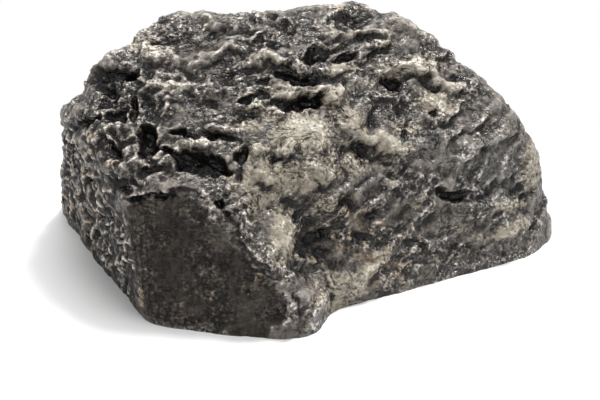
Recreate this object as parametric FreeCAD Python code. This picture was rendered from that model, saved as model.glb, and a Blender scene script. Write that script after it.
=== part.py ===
"""A hollow cast-resin rock that hides a spare key.

The rock is a faceted shell with an open underside.  A moulded base plate sits in the
underside on a gasket, held by four countersunk screws.  It carries a sealed key box
above and a hinged trap door below, which a small magnet holds shut.

Units are millimetres, +X runs along the length, +Z is up, the rock stands on Z = 0.
"""
import FreeCAD, Part
import math
import os
import random
from FreeCAD import Vector

os.makedirs("parts", exist_ok=True)

# ---------------------------------------------------------------- driving dimensions
WALL = 6.0                   # cast wall, measured square to each face
RIM = 5.0                    # width of the rim the rock stands on, at the ledge
LEDGE_W = 3.0                # shelf inside the rim that the gasket bears on

PLATE_Z = 2.5                # underside of the base plate above the ground
PLATE_T = 3.0
PLATE_CLEAR = 0.3            # base plate to rim, all round
GASKET_T = 1.0
GASKET_W = 2.4
GASKET_CLEAR = 0.1           # base gasket to the inner edge of its shelf

BOX_X, BOX_Y = -4.0, 11.5    # centre of the key compartment
OPEN_L, OPEN_W, OPEN_R = 60.0, 26.0, 7.0
CURB_RING = 4.5              # width of the raised curb around the opening
CURB_H = 4.0
CURB_R = 4.0
BOX_GASKET_T = 0.8
BOX_FLANGE_T = 2.0
BOX_WALL = 1.8
BOX_INNER_EXTRA = 0.5        # key box wall stands back from the opening
BOX_HEIGHT = 9.7             # key box, from its flange to its roof
LINER_T = 2.0

PANEL_T = 2.4                # trap door
PANEL_OVER = 2.5             # door laps the opening by this much each side
DOOR_GAP = 0.3               # door edge to rebate
REBATE_DEPTH = 3.1
SEAL_T = 0.65
SEAL_W = 1.5
PAD_T = 2.0
PAD_MARGIN = 2.0

TAB_X, TAB_L, TAB_W = -11.0, 8.0, 18.0
WELL_L, WELL_W, WELL_D = 7.5, 14.0, 4.0
CATCH_BLOCK_H = 3.2          # raised block over the tab and the finger well
CATCH_WALL = 1.6
MAGNET_D, MAGNET_T = 6.0, 2.0
KEEPER_T = 1.0
CATCH_GAP = 0.2              # air gap between magnet and keeper
POCKET_CLEAR = 0.05          # radial, glued discs in their pockets

HINGE_R = 1.9
HINGE_Z = 2.3
HINGE_BACK = 2.3             # axis behind the door's back edge
PIN_D = 1.8
PIN_RUN_CLEAR = 0.05         # radial, pin in the door's knuckles
PIN_HOLD_CLEAR = 0.015       # radial, pin in the plate's knuckles
KNUCKLE_GAP = 0.2
SLOT_CLEAR = 0.35

SCREW_D = 2.9
SCREW_L = 10.0
SCREW_HEAD_D = 5.5
SCREW_HEAD_H = 1.6
SCREW_CLEAR = 0.25
LUG_R = 4.3
LUG_H = 14.5
LUG_WEB = 16.0               # long enough to reach the wall from any lug
LUG_OFF_LEFT = 4.6           # screws, out from the edges of the curb
LUG_OFF_FRONT = 11.0
LUG_OFF_RIGHT = 7.8
SCREW_Y_LEFT = 12.0
SCREW_X_FRONT = -27.0
SCREW_Y_RIGHT = (0.0, 19.0)
INSERT_D = 4.2
INSERT_L = 5.7
INSERT_CLEAR = 0.02
THREAD_CLEAR = 0.05

TAPPER_D = 1.9
TAPPER_L = 5.5
TAPPER_HEAD_D = 3.6
TAPPER_HEAD_H = 1.4
TAPPER_PULL_IN = 2.9         # box screws, in from each flange corner

# ------------------------------------------------------------------ faces of the rock
curb_l, curb_w = OPEN_L + 2 * CURB_RING, OPEN_W + 2 * CURB_RING
left, right = BOX_X - curb_l / 2, BOX_X + curb_l / 2
front, back = BOX_Y - curb_w / 2, BOX_Y + curb_w / 2
ANCHORS = {
    "middle": Vector(BOX_X, BOX_Y, 0),
    "left": Vector(left, BOX_Y, 0),
    "right": Vector(right, BOX_Y, 0),
    "front": Vector(BOX_X, front, 0),
    "back": Vector(BOX_X, back, 0),
    "back left corner": Vector(left, back, 0),
    "back right corner": Vector(right, back, 0),
    "front right corner": Vector(right, front, 0),
}
# Each face: name, compass bearing of its outward side (degrees from +X towards +Y),
# backward lean from the vertical (90 is a level top), the side or corner of the key
# compartment's curb that it keeps its distance from, and a point it passes through,
# measured from there and from the ground.
BODY_FACES = [
    ("left end", 208, -3, "left", (-18, 2.5, 0)),
    ("left brow", 196, 33, "left", (-18.8, -2.5, 29.4)),
    ("left crown", 186, 52, "left", (-6.5, -7.5, 47)),
    ("left back", 155, 14, "left", (-15.5, 8.5, 0)),
    ("left back brow", 150, 42, "left", (-7.5, 10.5, 27)),
    ("front left face", 257, 9, "front", (-27.7, -26.8, 0)),
    ("front slope", 260, 52, "front", (-21, -22.5, 31)),
    ("front crown", 258, 68, "front", (-10, 0, 50)),
    ("crown", 135, 83, "middle", (4, -8.5, 55.2)),
    ("back crown", 95, 62, "back", (4, -19, 53)),
    ("back brow", 90, 42, "back", (4, 6, 30)),
    ("back left", 122, 14, "back left corner", (-1.5, 9, 0)),
    ("back", 90, 14, "back", (4, 11, 0)),
    ("back right", 52, 14, "back right corner", (9.5, 7, 0)),
    ("back right brow", 48, 42, "back right corner", (2.5, 0, 26)),
    ("right back", 24, 14, "right", (23.5, 6.5, 0)),
    ("right front", 296, 12, "front", (9.2, -22.6, 0)),
    ("right brow", 298, 42, "front", (26, -8, 30)),
    ("right slope", 305, 62, "middle", (19, -16.5, 49.5)),
    ("right corner", 325, 14, "front right corner", (19.5, -3, 0)),
    ("right end", 352, 10, "right", (27, -6.5, 3)),
    ("right shoulder", 20, 30, "right", (22.7, -8.5, 23.1)),
    ("right upper shoulder", 18, 45, "right", (14.6, -8.5, 34.5)),
    ("right crown", 2, 57, "right", (7.5, -8.5, 43.2)),
    ("summit", 340, 70, "middle", (26, -8.5, 50.5)),
]
TOE_FACES = [
    ("left end", 208, -3, "left", (-18, 2.5, 0)),
    ("front left face", 257, 9, "front", (-27.7, -26.8, 0)),
    ("toe", 292, 12, "front", (5, -32, 0)),
    ("toe side", 345, 20, "front", (8.8, -27, 0)),
    ("toe cheek", 325, 50, "front", (-2, -26, 20)),
    ("front slope", 260, 52, "front", (-21, -22.5, 31)),
    ("left brow", 196, 33, "left", (-18.8, -2.5, 29.4)),
    ("toe back", 90, 0, "middle", (4, -11.5, 0)),
    ("toe top", 0, 90, "middle", (4, -11.5, 38)),
]


# ------------------------------------------------------------- hollows and knobs of it
# Pits and the gaps between layers of lava, each a boat-shaped notch, and the knobs that
# stand out between them: where a line of sight from the rock's heart finds it (compass
# bearing and climb, degrees), its length, width and depth, and the turn of its length
# from level (degrees, anticlockwise from outside).
HEART = Vector(-5, -4, 0)
BOAT_KEEL = 0.45             # flat part of a notch's keel, as a share of its length
NOTCHES = [
    (0, 31, 12, 4, 1.1, 15), (0, 61, 11, 4.5, 1.8, -5), (2, 25, 10, 4.5, 1.1, 25),
    (2, 40, 10, 4, 1.2, -55), (2, 74, 9, 4, 1.6, 0), (3, 79, 10, 4, 1.2, 0),
    (10, 51, 9, 4, 1.2, -45), (15, 59, 10, 4, 1.2, -30), (15, 67, 9, 4, 1.2, 15),
    (23, 72, 12, 4, 1.5, 0), (52, 87, 11, 4, 1.3, 0), (58, 83, 12, 4, 1.2, -5),
    (153, 76, 10, 4, 1.2, 0), (162, 82, 15, 4, 1.4, 0), (171, 12, 20, 6, 1.2, 55),
    (172, 74, 9, 4, 1.3, 5), (177, 25, 18, 6, 1.3, 55), (177, 65, 9, 4.5, 1.5, 20),
    (187, 51, 12, 6, 3.2, 30), (187, 55, 9, 4, 2, -90), (189, 28, 22, 5, 1.4, 50),
    (191, 47, 9, 4, 1.8, 5), (192, 20, 25, 5, 1.3, 50), (194, 42, 20, 4, 2.6, 35),
    (195, 65, 9, 4, 1.3, -5), (197, 49, 9, 4, 2.6, 70), (199, 12, 25, 5, 1.2, 50),
    (201, 55, 9, 4, 1.8, -90), (207, 63, 9, 4, 1.2, 5), (207, 86, 11, 4, 1.3, -5),
    (208, 42, 9, 7, 2.8, 25), (209, 74, 9, 4, 1.3, 10), (211, 49, 11, 5, 3.2, -80),
    (214, 37, 14, 4, 2, 30), (216, 65, 9, 4, 1.5, 15), (217, 56, 9, 4, 1.8, 0),
    (219, 50, 9, 4, 1.8, -15), (221, 28, 9, 4, 1.4, -70), (223, 38, 12, 4, 1.8, 10),
    (229, 51, 14, 5, 3.2, -10), (234, 43, 9, 4, 1.4, 0), (234, 61, 9, 4, 1.8, 0),
    (242, 51, 9, 4, 2, -10), (245, 41, 9, 4.5, 2, -35), (245, 74, 11, 4, 2.2, 15),
    (246, 78, 9, 4, 1.5, 0), (249, 58, 9, 4, 2, -80), (251, 39, 9, 4, 1, -35),
    (251, 48, 9, 4, 1.6, 85), (257, 35, 9, 4, 1, -40), (262, 51, 9, 4, 1.2, -15),
    (271, 59, 9, 4, 1.4, -5), (276, 25, 16, 5, 1.4, -50), (278, 8, 9, 4, 1, 55),
    (284, 81, 12, 4, 2.2, -20), (285, 35, 16, 9, 2, -15), (289, 16, 11, 4, 1.2, 55),
    (293, 53, 9, 4, 1.2, 5), (294, 75, 12, 5, 2.6, 0), (305, 35, 9, 4, 1.2, -35),
    (306, 18, 12, 4, 1.2, -50), (308, 45, 9, 4, 1.2, -30), (315, 28, 9, 4, 1.2, -35),
    (318, 69, 9, 4.5, 1.2, 70), (322, 16, 11, 4, 1, -50), (326, 55, 10, 5.5, 1.6, -25),
    (328, 34, 11, 4, 1.1, 10), (336, 14, 16, 4, 1.2, -25), (341, 23, 10, 4, 1.1, 5),
    (341, 41, 9, 4, 1.1, 15), (343, 61, 9, 4, 1.6, 55), (343, 82, 10, 4, 1.6, 0),
    (346, 50, 9, 4, 1.6, 60), (349, 7, 16, 4.5, 1, 0), (349, 26, 12, 4, 1.9, -25),
    (353, 55, 9, 4.5, 1.2, -45), (354, 10, 14, 4, 1, 5), (355, 20, 12, 4, 1, 10),
    (355, 43, 9, 4, 1.1, 5), (356, 30, 15, 4, 1.1, 10), (357, 37, 12, 4, 1.1, 10),
    (359, 6, 10, 4, 1, 0), (359, 13, 10, 4, 1.1, 5),
]
KNOBS = [
    (197, 64, 13, 6, 1.2, 0), (196, 53, 9, 6, 1.2, 20), (252, 66, 11, 5, 1.2, 0),
    (292, 66, 13, 8, 1.6, -10), (330, 74, 10, 6, 1.2, 0), (345, 66, 12, 5, 1.4, 20),
    (268, 38, 14, 5, 1.4, 80), (316, 17, 14, 5, 1.3, -50), (340, 33, 9, 6, 1.2, 0),
    (226, 57, 12, 5, 1.3, -5), (3, 13, 9, 6, 0.8, 20),
]
BACK_CLIMBS = (11, 23, 35, 47, 59, 71)   # rows of notches over the back, by their climb
BACK_BEARINGS = (10, 166)
BACK_ROW = 9                 # notches in a row at the foot, fewer as it climbs


# ----------------------------------------------------------------------------- helpers
def box(x0, x1, y0, y1, z0, z1):
    return Part.makeBox(x1 - x0, y1 - y0, z1 - z0, Vector(x0, y0, z0))


def cyl(r, x, y, z0, z1):
    return Part.makeCylinder(r, z1 - z0, Vector(x, y, z0))


def cyl_x(r, x0, x1, y, z):
    return Part.makeCylinder(r, x1 - x0, Vector(x0, y, z), Vector(1, 0, 0))


def round_box(cx, cy, length, width, radius, z0, z1):
    """A rounded rectangle raised from z0 to z1."""
    block = box(cx - length / 2, cx + length / 2, cy - width / 2, cy + width / 2, z0, z1)
    upright = [e for e in block.Edges if abs(e.BoundBox.ZLength - (z1 - z0)) < 1e-6]
    return block.makeFillet(radius, upright)


def outward(bearing, lean):
    b, t = math.radians(bearing), math.radians(lean)
    return Vector(math.cos(t) * math.cos(b), math.cos(t) * math.sin(b), math.sin(t))


def lump(faces, inset=0.0):
    """The convex block left when every face in the list has trimmed a big block."""
    solid = box(-90, 90, -90, 90, 0, 80)
    for _name, bearing, lean, anchor, offset in faces:
        out = outward(bearing, lean)
        waste = Part.makeBox(400, 400, 200, Vector(-200, -200, 0))
        turn = FreeCAD.Rotation(Vector(0, 0, 1), out)
        waste.Placement = FreeCAD.Placement(ANCHORS[anchor] + Vector(*offset) - out * inset, turn)
        solid = solid.cut(waste)
    return solid


def spot(bearing, climb):
    """Where a line from the rock's heart leaves it, and the way out of the face there."""
    ray = outward(bearing, climb)
    reach, out = 0.0, None
    for faces in (BODY_FACES, TOE_FACES):
        near = []
        for _name, side, lean, anchor, offset in faces:
            normal = outward(side, lean)
            if normal.dot(ray) > 1e-6:
                gap = normal.dot(ANCHORS[anchor] + Vector(*offset) - HEART)
                near.append((gap / normal.dot(ray), normal))
        first = min(near, key=lambda n: n[0])
        if first[0] > reach:
            reach, out = first
    return HEART + ray * reach, out


def boat(bearing, climb, length, width, depth, turn, past):
    """A boat with its keel at the depth and its rim carried past the face by a margin.

    With a depth and a margin below zero it is the same boat upside down, a knob.
    """
    centre, out = spot(bearing, climb)
    level = Vector(-out.y, out.x, 0).normalize()
    rise = out.cross(level)
    a = math.radians(turn)
    along = level * math.cos(a) + rise * math.sin(a)
    across = out.cross(along)
    grow = 1 + past / depth
    rim_l = length / 2 * (BOAT_KEEL + (1 - BOAT_KEEL) * grow)
    rim_w = width / 2 * grow
    rim = [centre + out * past + along * (i * rim_l) + across * (j * rim_w)
           for i, j in ((-1, -1), (1, -1), (1, 1), (-1, 1))]
    keel = [centre - out * depth + along * (i * length / 2 * BOAT_KEEL) for i in (-1, 1)]
    sides = [rim, [rim[0], rim[1], keel[1], keel[0]], [rim[2], rim[3], keel[0], keel[1]],
             [rim[1], rim[2], keel[1]], [rim[3], rim[0], keel[0]]]
    hull = Part.Solid(Part.Shell([Part.Face(Part.makePolygon(s + s[:1])) for s in sides]))
    if hull.Volume < 0:
        hull.reverse()
    return hull


def prism(face, z0, z1):
    """A flat face lifted to z0 and raised to z1."""
    flat = face.copy()
    flat.translate(Vector(0, 0, z0 - flat.BoundBox.ZMin))
    return flat.extrude(Vector(0, 0, z1 - z0))


def shrink(face, distance, radius=0.0):
    """A flat face drawn in by a distance, with its corners rounded."""
    smaller = face.makeOffset2D(-(distance + radius), 2)
    if radius:
        smaller = smaller.makeOffset2D(radius, 0)
    return smaller


def one(shape):
    """The single solid of a result, with its seams cleaned up."""
    clean = shape.removeSplitter()
    assert len(clean.Solids) == 1, len(clean.Solids)
    return clean.Solids[0]


def save(name, shapes):
    solids = [one(s) for s in shapes]
    for solid in solids:
        assert solid.isValid(), name
        solid.translate(SHIFT)
    out = solids[0] if len(solids) == 1 else Part.makeCompound(solids)
    out.exportStep("parts/" + name + ".step")
    print(name, len(solids), "solid(s)", round(out.Volume, 1), "mm3")


# ---------------------------------------------------------------------------- the rock
outer = lump(BODY_FACES).fuse(lump(TOE_FACES)).removeSplitter()
assert len(outer.Solids) == 1
bounds = outer.BoundBox
SHIFT = Vector(-bounds.Center.x, -bounds.Center.y, 0)
print("rock", [round(v, 2) for v in (bounds.XLength, bounds.YLength, bounds.ZLength)])

plate_top = PLATE_Z + PLATE_T
ledge_z = plate_top + GASKET_T
cut = outer.Solids[0].slice(Vector(0, 0, 1), ledge_z)
outline = Part.Face(max(cut, key=lambda w: w.Length))
seat_outline = shrink(outline, RIM, 3.0)
ledge_outline = shrink(outline, RIM + LEDGE_W, 3.0)

hollow = lump(BODY_FACES, WALL).fuse(lump(TOE_FACES, WALL))
hollow = hollow.common(prism(ledge_outline, ledge_z - 1, 80))
shell = outer.cut(hollow).cut(prism(seat_outline, -1, ledge_z))

# Screw lugs grow out of the nearest wall and end on the eyes of the base gasket.
lugs = [
    (SCREW_X_FRONT, front - LUG_OFF_FRONT, 215),
    (right + LUG_OFF_RIGHT, SCREW_Y_RIGHT[0], 320),
    (left - LUG_OFF_LEFT, SCREW_Y_LEFT, 200),
    (right + LUG_OFF_RIGHT, SCREW_Y_RIGHT[1], 30),
]
SCREW_AT = [(x, y) for x, y, _bearing in lugs]
lug_top = ledge_z + LUG_H


def lug(x, y, bearing, z0, z1):
    """A round lug with a web that runs out to the wall."""
    web = box(x, x + LUG_WEB, y - LUG_R, y + LUG_R, z0, z1)
    web.rotate(Vector(x, y, 0), Vector(0, 0, 1), bearing)
    return cyl(LUG_R, x, y, z0, z1).fuse(web)


for x, y, bearing in lugs:
    shell = shell.fuse(lug(x, y, bearing, ledge_z, lug_top).common(outer))
for x, y in SCREW_AT:
    shell = shell.cut(cyl(INSERT_D / 2 + INSERT_CLEAR, x, y, 0, ledge_z + INSERT_L + 0.3))
    shell = shell.cut(cyl(SCREW_D / 2 + SCREW_CLEAR, x, y, 0, PLATE_Z + SCREW_L + 1.5))
for knob in KNOBS:
    length, width, height, turn = knob[2:]
    shell = shell.fuse(boat(*knob[:2], length, width, -height, turn, -0.6))
shell = shell.cut(box(-90, 90, -90, 90, -20, 0))
sow = random.Random(7)
back_notches = []
for row, climb in enumerate(BACK_CLIMBS):
    count = round(BACK_ROW * math.cos(math.radians(climb)))
    for k in range(count):
        share = (k + 0.3 + 0.4 * (row % 2)) / count
        bearing = BACK_BEARINGS[0] + share * (BACK_BEARINGS[1] - BACK_BEARINGS[0])
        back_notches.append((bearing + sow.uniform(-3, 3), climb + sow.uniform(-2, 2),
                             sow.uniform(11, 15), sow.uniform(4.5, 6.5),
                             sow.uniform(1.6, 2.4), sow.uniform(-30, 30)))
shell = shell.cut([boat(*notch, 1.2) for notch in NOTCHES + back_notches])
shell = max(shell.Solids, key=lambda s: s.Volume)      # chips between notches drop off
found = shell.BoundBox
assert (found.Center - Vector(bounds.Center.x, bounds.Center.y, bounds.ZMax / 2)).Length < 1e-6
save("rock_shell", [shell])
print("carved faces", len(shell.Faces))

inserts = []
for x, y in SCREW_AT:
    body = cyl(INSERT_D / 2, x, y, ledge_z + 0.1, ledge_z + 0.1 + INSERT_L)
    inserts.append(body.cut(cyl(SCREW_D / 2 + THREAD_CLEAR, x, y, 0, lug_top)))
save("screw_inserts", inserts)

gasket_in = RIM + LEDGE_W - GASKET_CLEAR
ring = prism(shrink(outline, gasket_in - GASKET_W, 3.0), plate_top, ledge_z)
ring = ring.cut(prism(shrink(outline, gasket_in, 3.0), 0, 20))
inside = prism(shrink(outline, gasket_in - GASKET_W, 3.0), plate_top, ledge_z)
for x, y, bearing in lugs:
    ring = ring.fuse(lug(x, y, bearing, plate_top, ledge_z).common(inside))
for x, y in SCREW_AT:
    ring = ring.cut(cyl(SCREW_D / 2 + SCREW_CLEAR, x, y, 0, 20))
save("base_gasket", [ring])

# -------------------------------------------------------------------------- base plate
curb_top = plate_top + CURB_H
door_l, door_w = OPEN_L + 2 * PANEL_OVER, OPEN_W + 2 * PANEL_OVER
door_front = BOX_Y - door_w / 2
door_back = BOX_Y + door_w / 2
rebate_top = PLATE_Z + REBATE_DEPTH
hinge_y = door_back + HINGE_BACK
tab_front = door_front - TAB_L
tab_left, tab_right = TAB_X - TAB_W / 2, TAB_X + TAB_W / 2
magnet_y = door_front - DOOR_GAP - MAGNET_D / 2 - 0.4

KNUCKLE_L = 8.0
knuckle_span = 52.0
knuckles = {"plate": [], "door": []}
ends = BOX_X - knuckle_span / 2, BOX_X + knuckle_span / 2
knuckles["plate"] = [
    (ends[0], ends[0] + KNUCKLE_L),
    (ends[0] + 2 * KNUCKLE_L, ends[1] - 2 * KNUCKLE_L),
    (ends[1] - KNUCKLE_L, ends[1]),
]
knuckles["door"] = [
    (ends[0] + KNUCKLE_L, ends[0] + 2 * KNUCKLE_L),
    (ends[1] - 2 * KNUCKLE_L, ends[1] - KNUCKLE_L),
]

plate = prism(shrink(seat_outline, PLATE_CLEAR), PLATE_Z, plate_top)
plate = plate.fuse(round_box(BOX_X, BOX_Y, curb_l, curb_w, CURB_R, plate_top - 1, curb_top))
block_front = tab_front - WELL_L - CATCH_WALL
block_back = front + CURB_RING
plate = plate.fuse(round_box(TAB_X, (block_front + block_back) / 2, TAB_W + 2 * CATCH_WALL,
                             block_back - block_front, 2.0, plate_top - 1,
                             plate_top + CATCH_BLOCK_H))
for x0, x1 in knuckles["plate"]:
    plate = plate.fuse(cyl_x(HINGE_R, x0, x1, hinge_y, HINGE_Z))
    plate = plate.fuse(box(x0, x1, hinge_y - HINGE_R, hinge_y + HINGE_R, HINGE_Z, plate_top - 0.5))

plate = plate.cut(round_box(BOX_X, BOX_Y, OPEN_L, OPEN_W, OPEN_R, 0, 40))
plate = plate.cut(box(BOX_X - door_l / 2 - DOOR_GAP, BOX_X + door_l / 2 + DOOR_GAP,
                      door_front - DOOR_GAP, door_back + DOOR_GAP, 2.0, rebate_top).cut(
    cyl_x(HINGE_R, ends[0], ends[1], hinge_y, HINGE_Z)))
plate = plate.cut(box(tab_left - DOOR_GAP, tab_right + DOOR_GAP,
                      tab_front - DOOR_GAP, door_front, 0, rebate_top))
well = box(TAB_X - WELL_W / 2, TAB_X + WELL_W / 2, tab_front - WELL_L, tab_front + 2.0,
           0, PLATE_Z + WELL_D)
rounded = [e for e in well.Edges if e.BoundBox.ZMin > PLATE_Z + WELL_D - 0.01
           and e.BoundBox.YMax < tab_front - WELL_L + 0.01]
plate = plate.cut(well.makeFillet(3.0, rounded))
for x0, x1 in knuckles["door"]:
    plate = plate.cut(box(x0 - KNUCKLE_GAP, x1 + KNUCKLE_GAP, door_back - 1.5,
                          hinge_y + HINGE_R + SLOT_CLEAR, 0, HINGE_Z + HINGE_R + SLOT_CLEAR))
plate = plate.cut(cyl_x(PIN_D / 2 + PIN_HOLD_CLEAR, ends[0], ends[1], hinge_y, HINGE_Z))
magnet_z = PLATE_Z + PANEL_T + 0.3 + CATCH_GAP
plate = plate.cut(cyl(MAGNET_D / 2 + POCKET_CLEAR, TAB_X, magnet_y, 3, magnet_z + MAGNET_T + 0.05))
for x, y in SCREW_AT:
    plate = plate.cut(cyl(SCREW_D / 2 + SCREW_CLEAR, x, y, 0, 9))
    plate = plate.cut(Part.makeCone(SCREW_HEAD_D / 2 + SCREW_CLEAR, SCREW_D / 2 + SCREW_CLEAR,
                                    SCREW_HEAD_H, Vector(x, y, PLATE_Z)))
tapper_x = curb_l / 2 - TAPPER_PULL_IN
tapper_y = curb_w / 2 - TAPPER_PULL_IN
TAPPER_AT = [(BOX_X + sx * tapper_x, BOX_Y + sy * tapper_y) for sx in (-1, 1) for sy in (-1, 1)]
flange_z = curb_top + BOX_GASKET_T
flange_top = flange_z + BOX_FLANGE_T
box_top = flange_z + BOX_HEIGHT
for x, y in TAPPER_AT:
    plate = plate.cut(cyl(TAPPER_D / 2 + INSERT_CLEAR, x, y, flange_top - TAPPER_L - 0.3, 20))
save("base_plate", [plate])

screws = []
for x, y in SCREW_AT:
    head = Part.makeCone(SCREW_HEAD_D / 2, SCREW_D / 2, SCREW_HEAD_H, Vector(x, y, PLATE_Z))
    screw = head.fuse(cyl(SCREW_D / 2, x, y, PLATE_Z + SCREW_HEAD_H, PLATE_Z + SCREW_L))
    for turn in (0, 90):
        slot = box(x - 1.5, x + 1.5, y - 0.3, y + 0.3, 0, PLATE_Z + 1.0)
        slot.rotate(Vector(x, y, 0), Vector(0, 0, 1), turn)
        screw = screw.cut(slot)
    screws.append(screw)
save("base_screws", screws)

# ---------------------------------------------------------------------------- key box
flange = round_box(BOX_X, BOX_Y, curb_l, curb_w, CURB_R, flange_z, flange_top)
in_l, in_w = OPEN_L + 2 * BOX_INNER_EXTRA, OPEN_W + 2 * BOX_INNER_EXTRA
out_l, out_w = in_l + 2 * BOX_WALL, in_w + 2 * BOX_WALL
key_box = flange.fuse(round_box(BOX_X, BOX_Y, out_l, out_w, OPEN_R + 2.3, flange_z, box_top))
box_roof = box_top - BOX_WALL
key_box = key_box.cut(round_box(BOX_X, BOX_Y, in_l, in_w, OPEN_R + 0.5, 0, box_roof))
for x, y in TAPPER_AT:
    key_box = key_box.cut(cyl(TAPPER_D / 2 + SCREW_CLEAR, x, y, 0, 20))
save("key_box", [key_box])

ring = round_box(BOX_X, BOX_Y, curb_l, curb_w, CURB_R, curb_top, flange_z)
ring = ring.cut(round_box(BOX_X, BOX_Y, in_l, in_w, OPEN_R + 0.5, 0, 40))
for x, y in TAPPER_AT:
    ring = ring.cut(cyl(TAPPER_D / 2 + SCREW_CLEAR, x, y, 0, 20))
save("box_gasket", [ring])

screws = []
for x, y in TAPPER_AT:
    screw = cyl(TAPPER_HEAD_D / 2, x, y, flange_top, flange_top + TAPPER_HEAD_H)
    top_edge = [e for e in screw.Edges if e.BoundBox.ZMin > flange_top + TAPPER_HEAD_H - 0.01]
    screw = screw.makeFillet(0.5, top_edge)
    screw = screw.fuse(cyl(TAPPER_D / 2, x, y, flange_top - TAPPER_L, flange_top))
    for turn in (0, 90):
        slot = box(x - 1.0, x + 1.0, y - 0.2, y + 0.2, flange_top + 0.6, 30)
        slot.rotate(Vector(x, y, 0), Vector(0, 0, 1), turn)
        screw = screw.cut(slot)
    screws.append(screw)
save("box_screws", screws)

save("box_liner", [round_box(BOX_X, BOX_Y, in_l - 2.0, in_w - 2.0, OPEN_R,
                             box_roof - LINER_T, box_roof)])

# -------------------------------------------------------------------------- trap door
panel_top = PLATE_Z + PANEL_T
door = round_box(BOX_X, BOX_Y, door_l, door_w, 0.6, PLATE_Z, panel_top)
tab = box(tab_left, tab_right, tab_front, door_front + 2, PLATE_Z, panel_top)
corners = [e for e in tab.Edges if e.BoundBox.ZLength > 1 and e.BoundBox.YMax < tab_front + 0.01]
door = door.fuse(tab.makeFillet(3.0, corners))
for x0, x1 in knuckles["plate"]:
    door = door.cut(box(x0 - KNUCKLE_GAP, x1 + KNUCKLE_GAP, hinge_y - HINGE_R - SLOT_CLEAR,
                        hinge_y, 0, 9))
for x0, x1 in knuckles["door"]:
    a, b = x0 + KNUCKLE_GAP, x1 - KNUCKLE_GAP
    door = door.fuse(cyl_x(HINGE_R, a, b, hinge_y, HINGE_Z))
    door = door.fuse(box(a, b, door_back - 2.0, hinge_y, HINGE_Z - 0.3, HINGE_Z + 1.5))
door = door.cut(cyl_x(PIN_D / 2 + PIN_RUN_CLEAR, ends[0] - 1, ends[1] + 1, hinge_y, HINGE_Z))
keeper_top = magnet_z - CATCH_GAP
door = door.cut(cyl(MAGNET_D / 2 + POCKET_CLEAR, TAB_X, magnet_y, keeper_top - KEEPER_T, 9))
for k in range(3):
    groove_y = tab_front + 1.6 + 1.5 * k
    door = door.cut(cyl_x(0.4, TAB_X - 6, TAB_X + 6, groove_y, PLATE_Z))
save("door", [door])

seal_l, seal_w = door_l - 0.8, door_w - 0.8
seal = round_box(BOX_X, BOX_Y, seal_l, seal_w, 2.0, panel_top, panel_top + SEAL_T)
seal = seal.cut(round_box(BOX_X, BOX_Y, seal_l - 2 * SEAL_W, seal_w - 2 * SEAL_W, 2.0, 0, 20))
save("door_seal", [seal])

save("door_pad", [round_box(BOX_X, BOX_Y, OPEN_L - 2 * PAD_MARGIN, OPEN_W - 2 * PAD_MARGIN,
                            OPEN_R - PAD_MARGIN, panel_top, panel_top + PAD_T)])
save("hinge_pin", [cyl_x(PIN_D / 2, ends[0] + 0.3, ends[1] - 0.3, hinge_y, HINGE_Z)])
save("catch_magnet", [cyl(MAGNET_D / 2, TAB_X, magnet_y, magnet_z, magnet_z + MAGNET_T)])
save("catch_keeper", [cyl(MAGNET_D / 2, TAB_X, magnet_y, keeper_top - KEEPER_T, keeper_top)])

print("hinge axis y, z:", round(hinge_y + SHIFT.y, 4), HINGE_Z, "shift", SHIFT)
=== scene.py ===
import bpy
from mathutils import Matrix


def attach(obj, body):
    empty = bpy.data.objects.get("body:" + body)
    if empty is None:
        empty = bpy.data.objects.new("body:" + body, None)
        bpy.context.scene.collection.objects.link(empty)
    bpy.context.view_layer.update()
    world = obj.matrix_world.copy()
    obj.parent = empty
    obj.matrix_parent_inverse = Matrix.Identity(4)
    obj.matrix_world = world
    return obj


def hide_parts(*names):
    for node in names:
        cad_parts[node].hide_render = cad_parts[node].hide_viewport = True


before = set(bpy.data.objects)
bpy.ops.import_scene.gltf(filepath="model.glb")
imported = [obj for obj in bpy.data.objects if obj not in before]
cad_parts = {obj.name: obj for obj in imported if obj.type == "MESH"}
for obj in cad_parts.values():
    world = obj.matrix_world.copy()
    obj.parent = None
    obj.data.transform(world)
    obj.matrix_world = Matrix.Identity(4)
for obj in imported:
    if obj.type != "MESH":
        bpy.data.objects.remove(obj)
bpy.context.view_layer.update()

import math
import random
from types import SimpleNamespace

import bmesh
import bpy
import numpy as np
from mathutils import Vector
from mathutils.bvhtree import BVHTree

# --------------------------------------------------------------------------- rock_shell
# The rock is one thick-walled casting of resin filled with stone dust, taken from a mould
# of a real lava boulder and coloured by hand. Four lugs inside it take the plate's screws.

# It is carved here from the flat faces of its blank: lumps and hollows first, then grain,
# then the hollow inside is cut out. Each face: bearing, lean (degrees), a point on it (mm).
BODY_FACES = [
    (208, -3, (-57.4, 13.7, 0)), (196, 33, (-58.2, 8.7, 29.4)), (186, 52, (-45.9, 3.7, 47)),
    (155, 14, (-54.9, 19.7, 0)), (150, 42, (-46.9, 21.7, 27)),
    (257, 9, (-32.6, -33.1, 0)), (260, 52, (-25.9, -28.8, 31)), (258, 68, (-14.9, -6.3, 50)),
    (135, 83, (-0.9, 2.7, 55.2)), (95, 62, (-0.9, 9.7, 53)), (90, 42, (-0.9, 34.7, 30)),
    (122, 14, (-40.9, 37.7, 0)), (90, 14, (-0.9, 39.7, 0)), (52, 14, (39.1, 35.7, 0)),
    (48, 42, (32.1, 28.7, 26)), (24, 14, (53.1, 17.7, 0)),
    (296, 12, (4.3, -28.9, 0)), (298, 42, (21.1, -14.3, 30)), (305, 62, (14.1, -5.3, 49.5)),
    (325, 14, (49.1, -9.3, 0)), (352, 10, (56.6, 4.7, 3)), (20, 30, (52.3, 2.7, 23.1)),
    (18, 45, (44.2, 2.7, 34.5)), (2, 57, (37.1, 2.7, 43.2)), (340, 70, (21.1, 2.7, 50.5)),
]
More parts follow.
